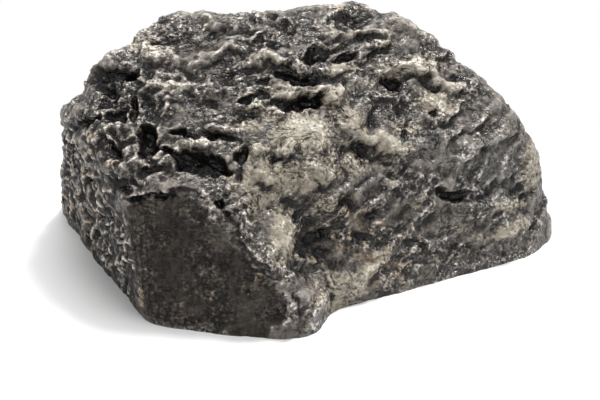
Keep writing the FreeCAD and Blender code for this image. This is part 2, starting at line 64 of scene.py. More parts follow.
TOE_FACES = [
    (208, -3, (-57.4, 13.7, 0)), (257, 9, (-32.6, -33.1, 0)), (292, 12, (0.1, -38.3, 0)),
    (345, 20, (3.9, -33.3, 0)), (325, 50, (-6.9, -32.3, 20)), (260, 52, (-25.9, -28.8, 31)),
    (196, 33, (-58.2, 8.7, 29.4)), (90, 0, (0, -0.3, 0)), (0, 90, (0, 0, 38)),
]
EDGE_ROUND = 1.1             # mm, how softly neighbouring faces meet
SEAM_ROUND = 3.0             # mm, how softly the toe grows out of the body


def outward(faces):
    """The unit normals and points of a list of faces."""
    b, t = np.radians([[f[0], f[1]] for f in faces]).T
    normals = np.stack([np.cos(t) * np.cos(b), np.cos(t) * np.sin(b), np.sin(t)], 1)
    return normals, np.array([f[2] for f in faces], float)


def lump(points, faces):
    """How far each point is outside a convex lump, and which way is straight out."""
    normals, on_face = outward(faces)
    height = points @ normals.T - (normals * on_face).sum(1)
    top = height.max(1, keepdims=True)
    share = np.exp((height - top) / EDGE_ROUND)
    total = share.sum(1, keepdims=True)
    return (top + EDGE_ROUND * np.log(total))[:, 0], (share / total) @ normals


def blank(points):
    """The same for body and toe together, melted into each other at their seam."""
    body, body_out = lump(points, BODY_FACES)
    toe, toe_out = lump(points, TOE_FACES)
    h = np.clip(0.5 + (toe - body) / (2 * SEAM_ROUND), 0, 1)
    dist = toe * (1 - h) + body * h - SEAM_ROUND * h * (1 - h)
    out = toe_out * (1 - h[:, None]) + body_out * h[:, None]
    return dist, out / np.linalg.norm(out, axis=1, keepdims=True)


def onto_blank(points, steps=6):
    for _ in range(steps):
        dist, out = blank(points)
        points = points - out * dist[:, None]
    return points, blank(points)[1]


# Smooth random fields that the carving and the colouring draw on.
chance = np.random.default_rng(21)
SHUFFLE = chance.permutation(4096)
TILTS = chance.normal(size=(64, 3))
TILTS /= np.linalg.norm(TILTS, axis=1, keepdims=True)
CELL_DOTS = chance.random((4096, 3))


def lattice(i):
    return SHUFFLE[(SHUFFLE[(SHUFFLE[i[:, 0] & 4095] + i[:, 1]) & 4095] + i[:, 2]) & 4095]


def wander(points, size, seed):
    """Gradient noise between about -1 and 1, with features of the given size in mm."""
    q = points / size + seed * 13.71
    i = np.floor(q).astype(np.int64)
    f = q - i
    w = f * f * f * (f * (f * 6 - 15) + 10)
    total = np.zeros(len(q))
    for corner in np.ndindex(2, 2, 2):
        c = np.array(corner)
        lean = TILTS[lattice(i + c) & 63]
        total += np.prod(np.where(c, w, 1 - w), 1) * ((f - c) * lean).sum(1)
    return total * 1.7


def layered(points, size, seed, layers=3, fade=0.5):
    total, weight = 0, 1.0
    for k in range(layers):
        total = total + weight * wander(points, size / 2 ** k, seed + 5 * k)
        weight *= fade
    return total / (2 - 2 ** (1 - layers))


def stacked(form, points, size, seed, layers, fade):
    """Noise bent to a form, at one size and at halves of it, each weaker than the last."""
    total, weight, most = 0, 1.0, 0
    for k in range(layers):
        total = total + weight * form(wander(points, size / 2 ** k, seed + 5 * k))
        most += weight
        weight *= fade
    return total / most


def crested(points, size, seed, layers=3, fade=0.5):
    """Noise with sharp crests, from 0 in the valleys to 1 on the crests."""
    return stacked(lambda n: np.clip(1 - np.abs(n), 0, 1) ** 2, points, size, seed, layers, fade)


def lobed(points, size, seed, layers=3, fade=0.5):
    """Noise with round lobes, from 0 in the sharp gaps between them to 1 on top."""
    return stacked(lambda n: np.minimum(1.7 * np.abs(n), 1) ** 0.6, points, size, seed, layers,
                   fade)


def cells(points, size, seed):
    """Distance to the nearest and second nearest of scattered dots, in cell widths."""
    q = points / size + seed * 7.13
    i = np.floor(q).astype(np.int64)
    near = np.full(len(q), 9.0)
    second = near.copy()
    for step in np.ndindex(3, 3, 3):
        j = i + np.array(step) - 1
        d = np.linalg.norm(j + CELL_DOTS[lattice(j)] - q, axis=1)
        second = np.minimum(second, np.maximum(near, d))
        near = np.minimum(near, d)
    return near, second


def ease(x, low, high):
    t = np.clip((x - low) / (high - low), 0, 1)
    return t * t * (3 - 2 * t)


# Places on the rock's front are named by where they show in a frame of 600 x 400, seen
# from in front and a little above through a long lens. The camera stands there too.
FRAME_W, FRAME_H = 600, 400
LENS, SENSOR = 100.0, 36.0                          # mm
EYE_RISE = math.radians(29.4)
EYE_DIST = 352.0                                    # mm
EYE_AIM = np.array([-1.2, -17.25, 20.7])            # mm
SIGHT = np.array([0, math.cos(EYE_RISE), -math.sin(EYE_RISE)])
SIGHT_UP = np.array([0, math.sin(EYE_RISE), math.cos(EYE_RISE)])
EYE = EYE_AIM - SIGHT * EYE_DIST
PIXELS = LENS / SENSOR * FRAME_W


def seen_at(points):
    """Where points, in mm, show in the frame: (across, down) in pixels."""
    away = points - EYE
    depth = away @ SIGHT
    across = FRAME_W / 2 + PIXELS * away[:, 0] / depth
    down = FRAME_H / 2 - PIXELS * (away @ SIGHT_UP) / depth
    return np.stack([across, down], 1)


def inside(spots, outline, soft):
    """1 inside an outline in the frame, 0 outside, fading over soft pixels each way."""
    a = np.array(outline, float)
    b = np.roll(a, -1, 0)
    nearest = np.full(len(spots), 1e9)
    crossings = np.zeros(len(spots), bool)
    for p, q in zip(a, b):
        along = np.clip(((spots - p) @ (q - p)) / ((q - p) @ (q - p)), 0, 1)
        off = spots - p - along[:, None] * (q - p)
        nearest = np.minimum(nearest, np.linalg.norm(off, axis=1))
        spans = (p[1] > spots[:, 1]) != (q[1] > spots[:, 1])
        fall = q[1] - p[1] if q[1] != p[1] else 1e-9
        at = p[0] + (q[0] - p[0]) * (spots[:, 1] - p[1]) / fall
        crossings ^= spans & (spots[:, 0] < at)
    return ease(np.where(crossings, nearest, -nearest), -soft, soft)


def beside(spots, line):
    """Distance in pixels from a broken line, the side (above it is positive) and the
    share of the line that lies before the nearest spot on it."""
    line = np.array(line, float)
    nearest = np.full(len(spots), 1e9)
    side = np.zeros(len(spots))
    share = np.zeros(len(spots))
    for k, (p, q) in enumerate(zip(line[:-1], line[1:])):
        step = q - p
        along = np.clip(((spots - p) @ step) / (step @ step), 0, 1)
        off = spots - p - along[:, None] * step
        d = np.linalg.norm(off, axis=1)
        up = step[0] * off[:, 1] - step[1] * off[:, 0]
        side = np.where(d < nearest, -np.sign(up), side)
        share = np.where(d < nearest, (k + along) / (len(line) - 1), share)
        nearest = np.minimum(nearest, d)
    return nearest, side, share


def oval(spots, u, v, across, down, turn):
    """How many half-widths each spot is from the centre of a turned oval."""
    t = math.radians(turn)
    d = spots - (u, v)
    x = d[:, 0] * math.cos(t) - d[:, 1] * math.sin(t)
    y = d[:, 0] * math.sin(t) + d[:, 1] * math.cos(t)
    return np.hypot(x / across, y / down)


# Zones of the casting, as outlines in the frame.
SMOOTH_FACE = [
    (124, 205), (136, 199), (150, 201), (172, 197), (192, 202), (203, 214), (214, 230),
    (232, 243), (246, 258), (258, 268), (272, 286), (288, 306), (282, 322), (270, 338),
    (215, 333), (177, 325), (141, 316), (134, 280), (131, 243),
]
LEFT_END = [
    (40, 230), (46, 160), (46, 118), (62, 116), (82, 134), (97, 158), (108, 188), (122, 214),
    (130, 243), (133, 280), (139, 318), (90, 280),
]
CAVE_SIDE = [
    (66, 118), (90, 104), (104, 78), (124, 64), (142, 68), (166, 96), (172, 130), (160, 172),
    (122, 196), (96, 160),
]
STRATA = [
    (84, 80), (110, 0), (300, -20), (440, 0), (470, 50), (400, 52), (330, 92), (250, 125),
    (232, 168), (190, 185), (150, 150),
]

# Hollows and lumps: across, down, half width, half height (pixels), turn, depth or
# height (mm, below zero for a hollow) and how steep the side is (1 soft, 3 steep).
HOLLOWS = [
    (113, 80, 24, 12, 26, -4.6, 3), (131, 74, 8, 9, 10, -2.6, 2), (107, 98, 9, 5, 10, -2.6, 2),
    (90, 122, 16, 6, 32, -3.2, 2), (116, 113, 8, 13, -35, -3.2, 2),
    (132, 107, 6, 13, -5, -3.0, 2), (147, 141, 10, 19, 0, -4.8, 3),
    (114, 153, 12, 12, 20, -3.6, 2), (198, 161, 28, 12, -14, -4.6, 3),
    (220, 171, 14, 5, -12, -2.6, 2), (182, 131, 16, 4, -5, -2.4, 2),
    (222, 134, 17, 4, -4, -2.4, 2), (241, 154, 7, 14, 0, -2.8, 2), (290, 79, 24, 6, -8, -2.8, 2),
    (256, 98, 23, 5, 10, -2.8, 2), (303, 104, 20, 9, 12, -3.2, 2), (119, 181, 10, 6, 10, -2.4, 2),
    (103, 66, 6, 3, 20, -1.6, 2), (313, 58, 16, 3.5, 14, -2.2, 2), (346, 58, 12, 4, 10, -2.0, 2),
    (262, 86, 15, 4, -4, -1.8, 2), (168, 152, 12, 5, -20, -2.2, 2),
    (150, 108, 7, 10, 10, -1.2, 1), (205, 105, 14, 4, 8, -1.8, 2), (357, 24, 17, 7, 10, -1.8, 1),
    (393, 82, 16, 8, 8, -2.4, 2), (437, 114, 5, 3, 0, -1.8, 2), (462, 101, 4, 3, 0, -1.6, 2),
    (376, 114, 7, 14, -12, -2.2, 1), (408, 133, 4, 14, -10, -2.0, 2),
    (370, 152, 16, 11, -10, -2.0, 1), (354, 150, 9, 10, 0, -1.6, 1),
    (238, 176, 6, 9, -10, -1.8, 2), (454, 194, 19, 7, -14, -2.4, 2),
    (310, 240, 22, 20, 0, -2.4, 1), (283, 160, 10, 5, 10, -1.6, 2),
    (345, 232, 9, 5, -25, -1.4, 1), (366, 240, 12, 5, -25, -1.4, 1),
    (348, 204, 10, 7, -20, -1.5, 1), (300, 204, 22, 9, 0, -1.2, 1), (216, 207, 6, 6, 0, -2.4, 2),
    (222, 220, 5, 5, 0, -1.8, 2), (150, 195, 22, 4, 4, -2.2, 2), (188, 193, 14, 3, -8, -1.8, 2),
    (297, 268, 16, 6, -30, -1.6, 1), (262, 186, 8, 5, 0, -1.2, 1), (320, 188, 10, 6, 20, -1.2, 1),
    (250, 34, 26, 4, -4, -1.4, 1), (214, 34, 14, 4, 0, -1.4, 1), (170, 43, 14, 5, 10, -1.6, 1),
    (290, 30, 20, 4, -6, -1.2, 1), (330, 52, 14, 3, 14, -1.4, 1), (270, 45, 18, 4, -8, -1.4, 1),
    (225, 76, 14, 4, 4, -1.4, 1), (190, 100, 12, 4, 0, -1.4, 1), (184, 74, 12, 4, -8, -1.4, 1),
    (400, 110, 10, 7, -30, -1.2, 1), (414, 170, 12, 6, 30, -1.0, 1),
    (534, 112, 12, 18, 30, -1.4, 1), (372, 212, 12, 5, 20, -1.2, 1),
    (400, 216, 12, 5, 30, -1.2, 1), (430, 220, 14, 6, 20, -1.0, 1), (70, 92, 9, 11, 0, -1.8, 1),
    (520, 190, 6, 14, 10, -1.0, 1), (400, 262, 16, 6, 20, -0.8, 1),
    (470, 250, 24, 8, 14, -0.8, 1),
]
LUMPS = [
    (98, 62, 20, 18, 40, 2.6, 1), (70, 112, 13, 10, 10, 2.0, 1), (138, 36, 24, 12, 24, 1.8, 1),
    (156, 56, 20, 11, -6, 2.4, 2), (190, 28, 24, 9, 12, 1.8, 1), (236, 18, 26, 7, 0, 1.2, 1),
    (172, 88, 20, 8, 8, 1.5, 1), (163, 107, 10, 9, 0, 1.4, 2), (343, 10, 36, 6, 0, 0.8, 1),
    (222, 127, 20, 6, 4, 1.4, 2), (196, 143, 17, 7, 4, 1.6, 2), (300, 136, 24, 16, 0, 2.2, 1),
    (328, 96, 20, 11, -20, 2.0, 2), (284, 152, 9, 11, 0, 1.6, 2), (350, 124, 12, 12, 0, 1.5, 1),
    (383, 143, 22, 7, -22, 1.4, 1), (266, 108, 22, 5, -12, 1.2, 1), (222, 86, 26, 6, 12, 1.2, 1),
    (437, 104, 17, 9, -6, 1.5, 1), (392, 184, 9, 8, 0, 1.6, 2), (412, 196, 8, 6, 0, 1.2, 2),
    (446, 182, 16, 8, 0, 1.2, 1), (478, 207, 14, 8, -30, 1.2, 1), (281, 236, 15, 30, 4, 1.8, 1),
    (300, 257, 6, 4, 0, 1.2, 2), (314, 260, 5, 5, 0, 1.0, 2), (316, 300, 12, 24, -12, 1.0, 1),
    (369, 272, 7, 30, -38, 1.6, 1), (336, 292, 16, 12, 0, 0.9, 1), (530, 168, 8, 24, 0, 1.2, 1),
    (510, 226, 20, 7, 24, 1.2, 1), (505, 204, 18, 6, 12, 1.1, 1), (160, 180, 18, 6, -8, 1.0, 1),
    (104, 138, 12, 6, 24, 1.4, 1), (133, 166, 10, 10, 20, 1.4, 1), (82, 140, 15, 5, -16, 1.6, 1),
    (118, 262, 7, 16, -24, 1.0, 1), (86, 208, 12, 16, 0, 1.0, 1), (200, 60, 26, 6, 8, 1.0, 1),
    (345, 78, 22, 6, 10, 1.1, 1), (448, 84, 20, 7, -18, 1.3, 1), (460, 150, 34, 9, 24, 0.9, 1),
    (260, 152, 10, 9, 0, 1.6, 2), (320, 170, 14, 7, 0, 0.9, 1), (268, 176, 12, 8, 0, 1.0, 1),
]

# Crests of thin stone: height (mm), half width (pixels) and the line they follow. Each
# stands up sharply below and runs back softly above, as layers of lava do.
CRESTS = [
    (2.0, 6, [(232, 73), (250, 64), (268, 60), (290, 63), (314, 71), (330, 74)]),
    (2.1, 6, [(218, 110), (246, 107), (268, 99), (290, 92), (312, 92), (324, 88)]),
    (1.4, 5, [(160, 66), (188, 60), (214, 58), (236, 50), (258, 52)]),
    (1.3, 5, [(150, 34), (172, 24), (196, 22), (214, 30)]),
    (1.5, 5, [(318, 24), (338, 17), (362, 12), (378, 19)]),
    (1.4, 5, [(302, 40), (322, 33), (346, 33), (370, 32), (388, 25)]),
    (1.5, 5, [(306, 52), (322, 45), (340, 40)]),
    (1.8, 5, [(346, 60), (366, 54), (386, 44), (394, 38)]),
    (2.2, 6, [(366, 84), (378, 73), (392, 67), (407, 65), (420, 70), (434, 80), (448, 92),
              (462, 101), (474, 104)]),
    (1.3, 4, [(426, 63), (436, 55), (448, 58), (456, 64)]),
    (1.3, 4, [(440, 76), (454, 74), (466, 80), (476, 92)]),
    (1.2, 4, [(366, 93), (384, 97), (398, 99), (410, 94)]),
    (1.4, 5, [(284, 66), (300, 70), (318, 76), (336, 74), (350, 66)]),
    (1.5, 5, [(122, 200), (146, 191), (168, 188), (190, 192), (204, 202)]),
    (1.2, 5, [(132, 96), (146, 90), (158, 84), (172, 80)]),
    (1.5, 5, [(84, 140), (104, 130), (122, 128)]),
    (1.5, 5, [(128, 160), (148, 164), (170, 160), (180, 166)]),
    (1.2, 4, [(420, 118), (440, 122), (454, 116), (462, 108)]),
    (1.1, 5, [(430, 150), (452, 138), (474, 126), (500, 112)]),
    (1.1, 5, [(452, 160), (476, 148), (500, 136), (522, 126)]),
    (1.1, 5, [(450, 206), (476, 194), (500, 180), (520, 166)]),
    (1.2, 3, [(416, 236), (430, 246), (446, 258)]),
    (1.2, 4, [(284, 290), (290, 300), (288, 316), (276, 334)]),
    (1.2, 4, [(322, 268), (331, 282), (333, 300), (326, 318)]),
    (1.3, 4, [(210, 206), (226, 216), (240, 234), (250, 250), (268, 262), (284, 282)]),
    (1.2, 4, [(226, 206), (240, 222), (252, 240), (262, 250)]),
    (1.0, 4, [(300, 290), (306, 304), (302, 324)]),
    (1.2, 4, [(246, 12), (262, 22), (286, 20), (300, 26)]),
    (1.8, 4, [(66, 134), (82, 140), (94, 156), (102, 186), (110, 222)]),
    (1.2, 4, [(220, 40), (244, 42), (262, 36), (284, 40)]),
]

# Swellings along the skyline: height (mm), half width (pixels) and their line.
SKYLINE = [
    (4.2, 11, [(80, 88), (90, 70), (102, 54), (118, 40), (134, 29), (148, 21), (164, 17)]),
    (1.8, 9, [(380, 12), (400, 20), (422, 32), (446, 48)]),
]


def ledges(points, way, size, seed):
    """Wavy ledges, 0 to 1: rising slowly along a direction and dropping at a sharp lip."""
    t = points @ np.array(way) / size
    bends = 1.3 * layered(points * (0.55, 1, 1), 3.2 * size, seed, layers=2)
    t = t + bends + 0.35 * wander(points, size, seed + 9)
    f = t - np.floor(t)
    return ease(f, 0.0, 0.85) * ease(f, 1.0, 0.86)


def warped(points, size, amount, seed):
    """Points pushed about by noise, by about the given amount in mm."""
    push = [wander(points, size, seed + k) for k in range(3)]
    return points + amount * np.stack(push, 1)


# The back has rows of boat-shaped notches, placed by rule: where a line of sight from the
# rock's heart finds each (bearing and climb), its length, width, depth and turn.
ROW_HEART = np.array([-5.9, -4.25, 0])              # mm
BACK_CLIMBS = (11, 23, 35, 47, 59, 71)              # degrees, one row for each
BACK_BEARINGS = (10, 166)                           # degrees, from one end of a row to the other
BACK_ROW = 9                                        # notches in a row at the foot
NOTCH_SIDE = 5                                      # mm, as far as one reaches from its face
sow = random.Random(7)
back_notches = []
for row, climb in enumerate(BACK_CLIMBS):
    count = round(BACK_ROW * math.cos(math.radians(climb)))
    for k in range(count):
        share = (k + 0.3 + 0.4 * (row % 2)) / count
        bearing = BACK_BEARINGS[0] + share * (BACK_BEARINGS[1] - BACK_BEARINGS[0])
        back_notches.append((bearing + sow.uniform(-3, 3), climb + sow.uniform(-2, 2),
                             sow.uniform(11, 15), sow.uniform(4.5, 6.5),
                             sow.uniform(1.6, 2.4), sow.uniform(-30, 30)))


def notched(points):
    """The depth in mm that the back notches have at each point, with wandering edges."""
    depth_here = np.zeros(len(points))
    points = warped(points, size=3.5, amount=0.9, seed=36)
    for bearing, climb, length, width, depth, turn in back_notches:
        b, t = math.radians(bearing), math.radians(climb)
        ray = np.array([math.cos(t) * math.cos(b), math.cos(t) * math.sin(b), math.sin(t)])
        reach, way_out = 0, None
        for faces in (BODY_FACES, TOE_FACES):
            normals, on_face = outward(faces)
            rate = normals @ ray
            gap = np.where(rate > 1e-6, (normals * (on_face - ROW_HEART)).sum(1) / rate, 1e9)
            if gap.min() > reach:
                reach, way_out = gap.min(), normals[gap.argmin()]
        level = np.array([-way_out[1], way_out[0], 0])
        level /= np.linalg.norm(level)
        a = math.radians(turn)
        along = level * math.cos(a) + np.cross(way_out, level) * math.sin(a)
        q = points - (ROW_HEART + ray * reach)
        x, y = np.abs(q @ along), np.abs(q @ np.cross(way_out, along))
        boat = np.minimum((length / 2 - x) / (0.55 * length / 2), 1 - 2 * y / width)
        near = np.abs(q @ way_out) < NOTCH_SIDE
        depth_here = np.maximum(depth_here, depth * ease(boat, 0, 0.9) * near)
    return depth_here


# Painted patches: across, down, half width, half height (pixels), turn and strength.
CREAM = [
    (328, 97, 24, 14, -15, 1.0), (350, 121, 16, 12, 0, 0.9), (384, 142, 30, 12, -22, 1.0),
    (300, 136, 34, 24, 0, 1.0), (262, 112, 28, 9, -8, 0.8), (437, 106, 20, 12, -6, 1.0),
    (445, 90, 22, 7, 10, 0.9), (405, 70, 34, 8, 0, 0.9), (532, 166, 11, 26, 0, 1.0),
    (508, 206, 20, 7, 10, 0.9), (510, 228, 22, 9, 24, 0.9), (286, 177, 58, 18, 4, 0.95),
    (328, 204, 26, 16, 10, 0.6), (262, 200, 20, 16, 0, 0.7), (282, 236, 15, 33, 4, 1.0),
    (370, 270, 9, 40, -40, 1.0), (336, 306, 11, 14, 0, 0.8), (340, 284, 24, 14, -20, 0.7),
    (300, 257, 7, 5, 0, 1.0), (314, 260, 6, 6, 0, 1.0), (392, 182, 9, 8, 0, 0.6),
    (420, 204, 8, 7, 0, 0.9), (242, 126, 24, 8, 0, 0.8), (148, 50, 26, 9, -6, 0.6),
    (176, 87, 22, 7, 6, 0.6), (387, 44, 10, 6, -30, 0.9), (470, 232, 30, 7, -18, 0.4),
    (408, 128, 16, 8, -18, 0.7), (190, 144, 26, 6, 4, 0.6), (262, 152, 24, 12, 0, 0.8),
    (345, 68, 24, 8, 10, 0.7), (290, 92, 30, 7, 0, 0.6), (262, 60, 30, 6, -4, 0.5),
    (340, 165, 34, 16, 0, 0.6), (360, 150, 30, 16, 0, 0.6), (430, 60, 18, 6, 0, 0.6),
    (350, 34, 34, 5, 0, 0.5), (316, 296, 12, 24, -12, 0.5), (446, 258, 24, 6, 14, 0.4),
    (256, 210, 12, 22, -24, 0.5), (90, 250, 16, 20, -50, 0.4),
]
SLABS = [
    (92, 178, 9, 40, 16, 1.2), (112, 78, 22, 9, 26, 1.0), (156, 57, 16, 9, -10, 1.0),
    (193, 159, 24, 8, -14, 1.0), (147, 141, 8, 18, 0, 1.0), (232, 183, 8, 10, -10, 1.0),
    (456, 197, 16, 7, -14, 1.0), (360, 194, 9, 7, 0, 1.0), (496, 250, 24, 7, 14, 0.8),
    (200, 118, 20, 5, 6, 0.8), (400, 74, 24, 6, 0, 0.8), (392, 120, 6, 16, -16, 0.8),
    (378, 118, 16, 18, -10, 0.9), (430, 150, 40, 14, -24, 0.8), (486, 160, 34, 18, -34, 0.9),
    (470, 128, 24, 8, -30, 0.7), (408, 210, 30, 10, 20, 0.7), (500, 138, 20, 12, -30, 0.8),
    (405, 44, 16, 8, 20, 0.7), (360, 84, 14, 7, 10, 0.7), (470, 236, 40, 8, -14, 0.8),
]
RUST = [
    (232, 183, 8, 11, -10, 1.0), (456, 197, 12, 6, -10, 0.7), (310, 238, 20, 16, 0, 0.6),
    (80, 138, 18, 7, -16, 0.6), (360, 150, 22, 9, 0, 0.5), (388, 158, 12, 5, 0, 0.6),
    (392, 96, 18, 5, 0, 0.5), (200, 190, 14, 5, 0, 0.4), (180, 250, 30, 20, 0, 0.3),
    (90, 195, 16, 26, 10, 0.5), (340, 226, 10, 7, 0, 0.5), (128, 232, 6, 16, 0, 0.4),
    (420, 108, 8, 8, 0, 0.5), (355, 104, 10, 6, 0, 0.4), (240, 214, 9, 8, -30, 0.4),
    (100, 150, 30, 40, 0, 0.6), (84, 190, 26, 70, 0, 0.7), (60, 200, 20, 60, 0, 0.7),
    (160, 250, 12, 26, 0, 0.5), (216, 292, 26, 16, -30, 0.5), (142, 292, 8, 24, 0, 0.6),
    (176, 300, 22, 14, 0, 0.5), (262, 300, 12, 14, 0, 0.4), (88, 165, 10, 22, -20, 0.5),
    (284, 188, 48, 14, 4, 0.5), (344, 232, 56, 40, 20, 0.75), (256, 170, 16, 10, 0, 0.5),
    (380, 262, 44, 26, -30, 0.7), (410, 230, 30, 14, -10, 0.6), (316, 300, 20, 30, 0, 0.55),
    (74, 230, 30, 60, -20, 0.8),
]
BLUE = [
    (372, 186, 30, 16, 0, 0.7), (430, 150, 60, 26, -16, 0.7), (490, 170, 40, 46, 0, 0.8),
    (436, 240, 26, 12, -14, 0.6), (116, 153, 12, 12, 0, 0.8), (486, 220, 40, 26, 0, 0.5),
    (410, 188, 40, 16, 0, 0.6), (470, 120, 40, 20, 20, 0.5),
]
# Painted shade: dark patches laid over the deep hollows, where shadow falls.
PAINTED_SHADE = [
    (310, 244, 20, 17, 0, 0.4), (420, 248, 38, 14, -12, 0.35), (147, 142, 10, 18, 0, 1.2),
    (199, 162, 28, 12, -14, 1.3), (303, 104, 20, 8, 10, 0.7), (288, 80, 28, 6, -8, 0.6),
    (256, 99, 20, 5, 10, 0.4), (182, 131, 16, 4, -5, 0.4), (222, 134, 16, 4, -4, 0.4),
    (241, 156, 7, 14, 0, 0.4), (456, 194, 19, 8, -14, 0.4), (114, 80, 23, 12, 24, 1.8),
    (116, 112, 9, 14, -35, 0.8), (132, 107, 7, 13, -5, 0.8), (90, 122, 16, 7, 32, 0.8),
    (114, 153, 11, 11, 20, 0.8), (357, 26, 16, 7, 10, 0.5), (393, 82, 16, 7, 8, 0.5),
    (300, 208, 24, 10, 0, 0.3), (352, 238, 20, 10, -25, 0.3), (390, 225, 30, 14, -20, 0.25),
    (100, 110, 26, 26, 0, 0.25),
]
# Painted highlights: pale patches on the tops of lumps and crests, where the light falls.
PAINTED_HIGHLIGHT = [
    (405, 66, 34, 6, 6, 0.25), (232, 128, 26, 6, 0, 0.2), (196, 144, 26, 5, 4, 0.2),
    (170, 88, 22, 6, 6, 0.2), (148, 52, 22, 8, -6, 0.25), (318, 296, 12, 20, -12, 0.25),
    (285, 305, 6, 20, 12, 0.2), (446, 92, 14, 5, 20, 0.2), (486, 126, 20, 4, -24, 0.2),
    (500, 110, 20, 4, -30, 0.15), (430, 246, 20, 3, 34, 0.3), (304, 130, 26, 12, 0, 0.2),
    (334, 92, 20, 6, -15, 0.12), (386, 140, 26, 7, -22, 0.18), (284, 230, 11, 26, 4, 0.12),
    (156, 50, 16, 5, -6, 0.15), (370, 270, 6, 36, -40, 0.1), (480, 150, 40, 20, -30, 0.05),
]


def painted(spots, patches):
    """How strongly a list of patches covers each spot."""
    total = np.zeros(len(spots))
    for u, v, across, down, turn, amount in patches:
        total = np.maximum(total, amount * np.exp(-oval(spots, u, v, across, down, turn) ** 4))
    return total


EDGE_DRIFT = ((7, 6.0), (2.8, 4.5), (1.3, 2.2))     # how zones' edges wander: mm, and pixels
LEDGE_MEAN, LOBE_MEAN = 0.45, 0.6                   # taken off, so that texture adds no bulk
DEEPEST_MARK = 5                                    # mm
MOST_RISE, MOST_SINK, SET_BACK = 3.0, 4.2, 0.1      # mm, measured from the blank
CROWN_GRAIN = (0.55, 1.0, 1.1)                      # layers are long from end to end
SIDE_GRAIN = np.array([[0.82, 0, 0.57], [0, 1, 0], [-0.57, 0, 0.82]])   # and these slant


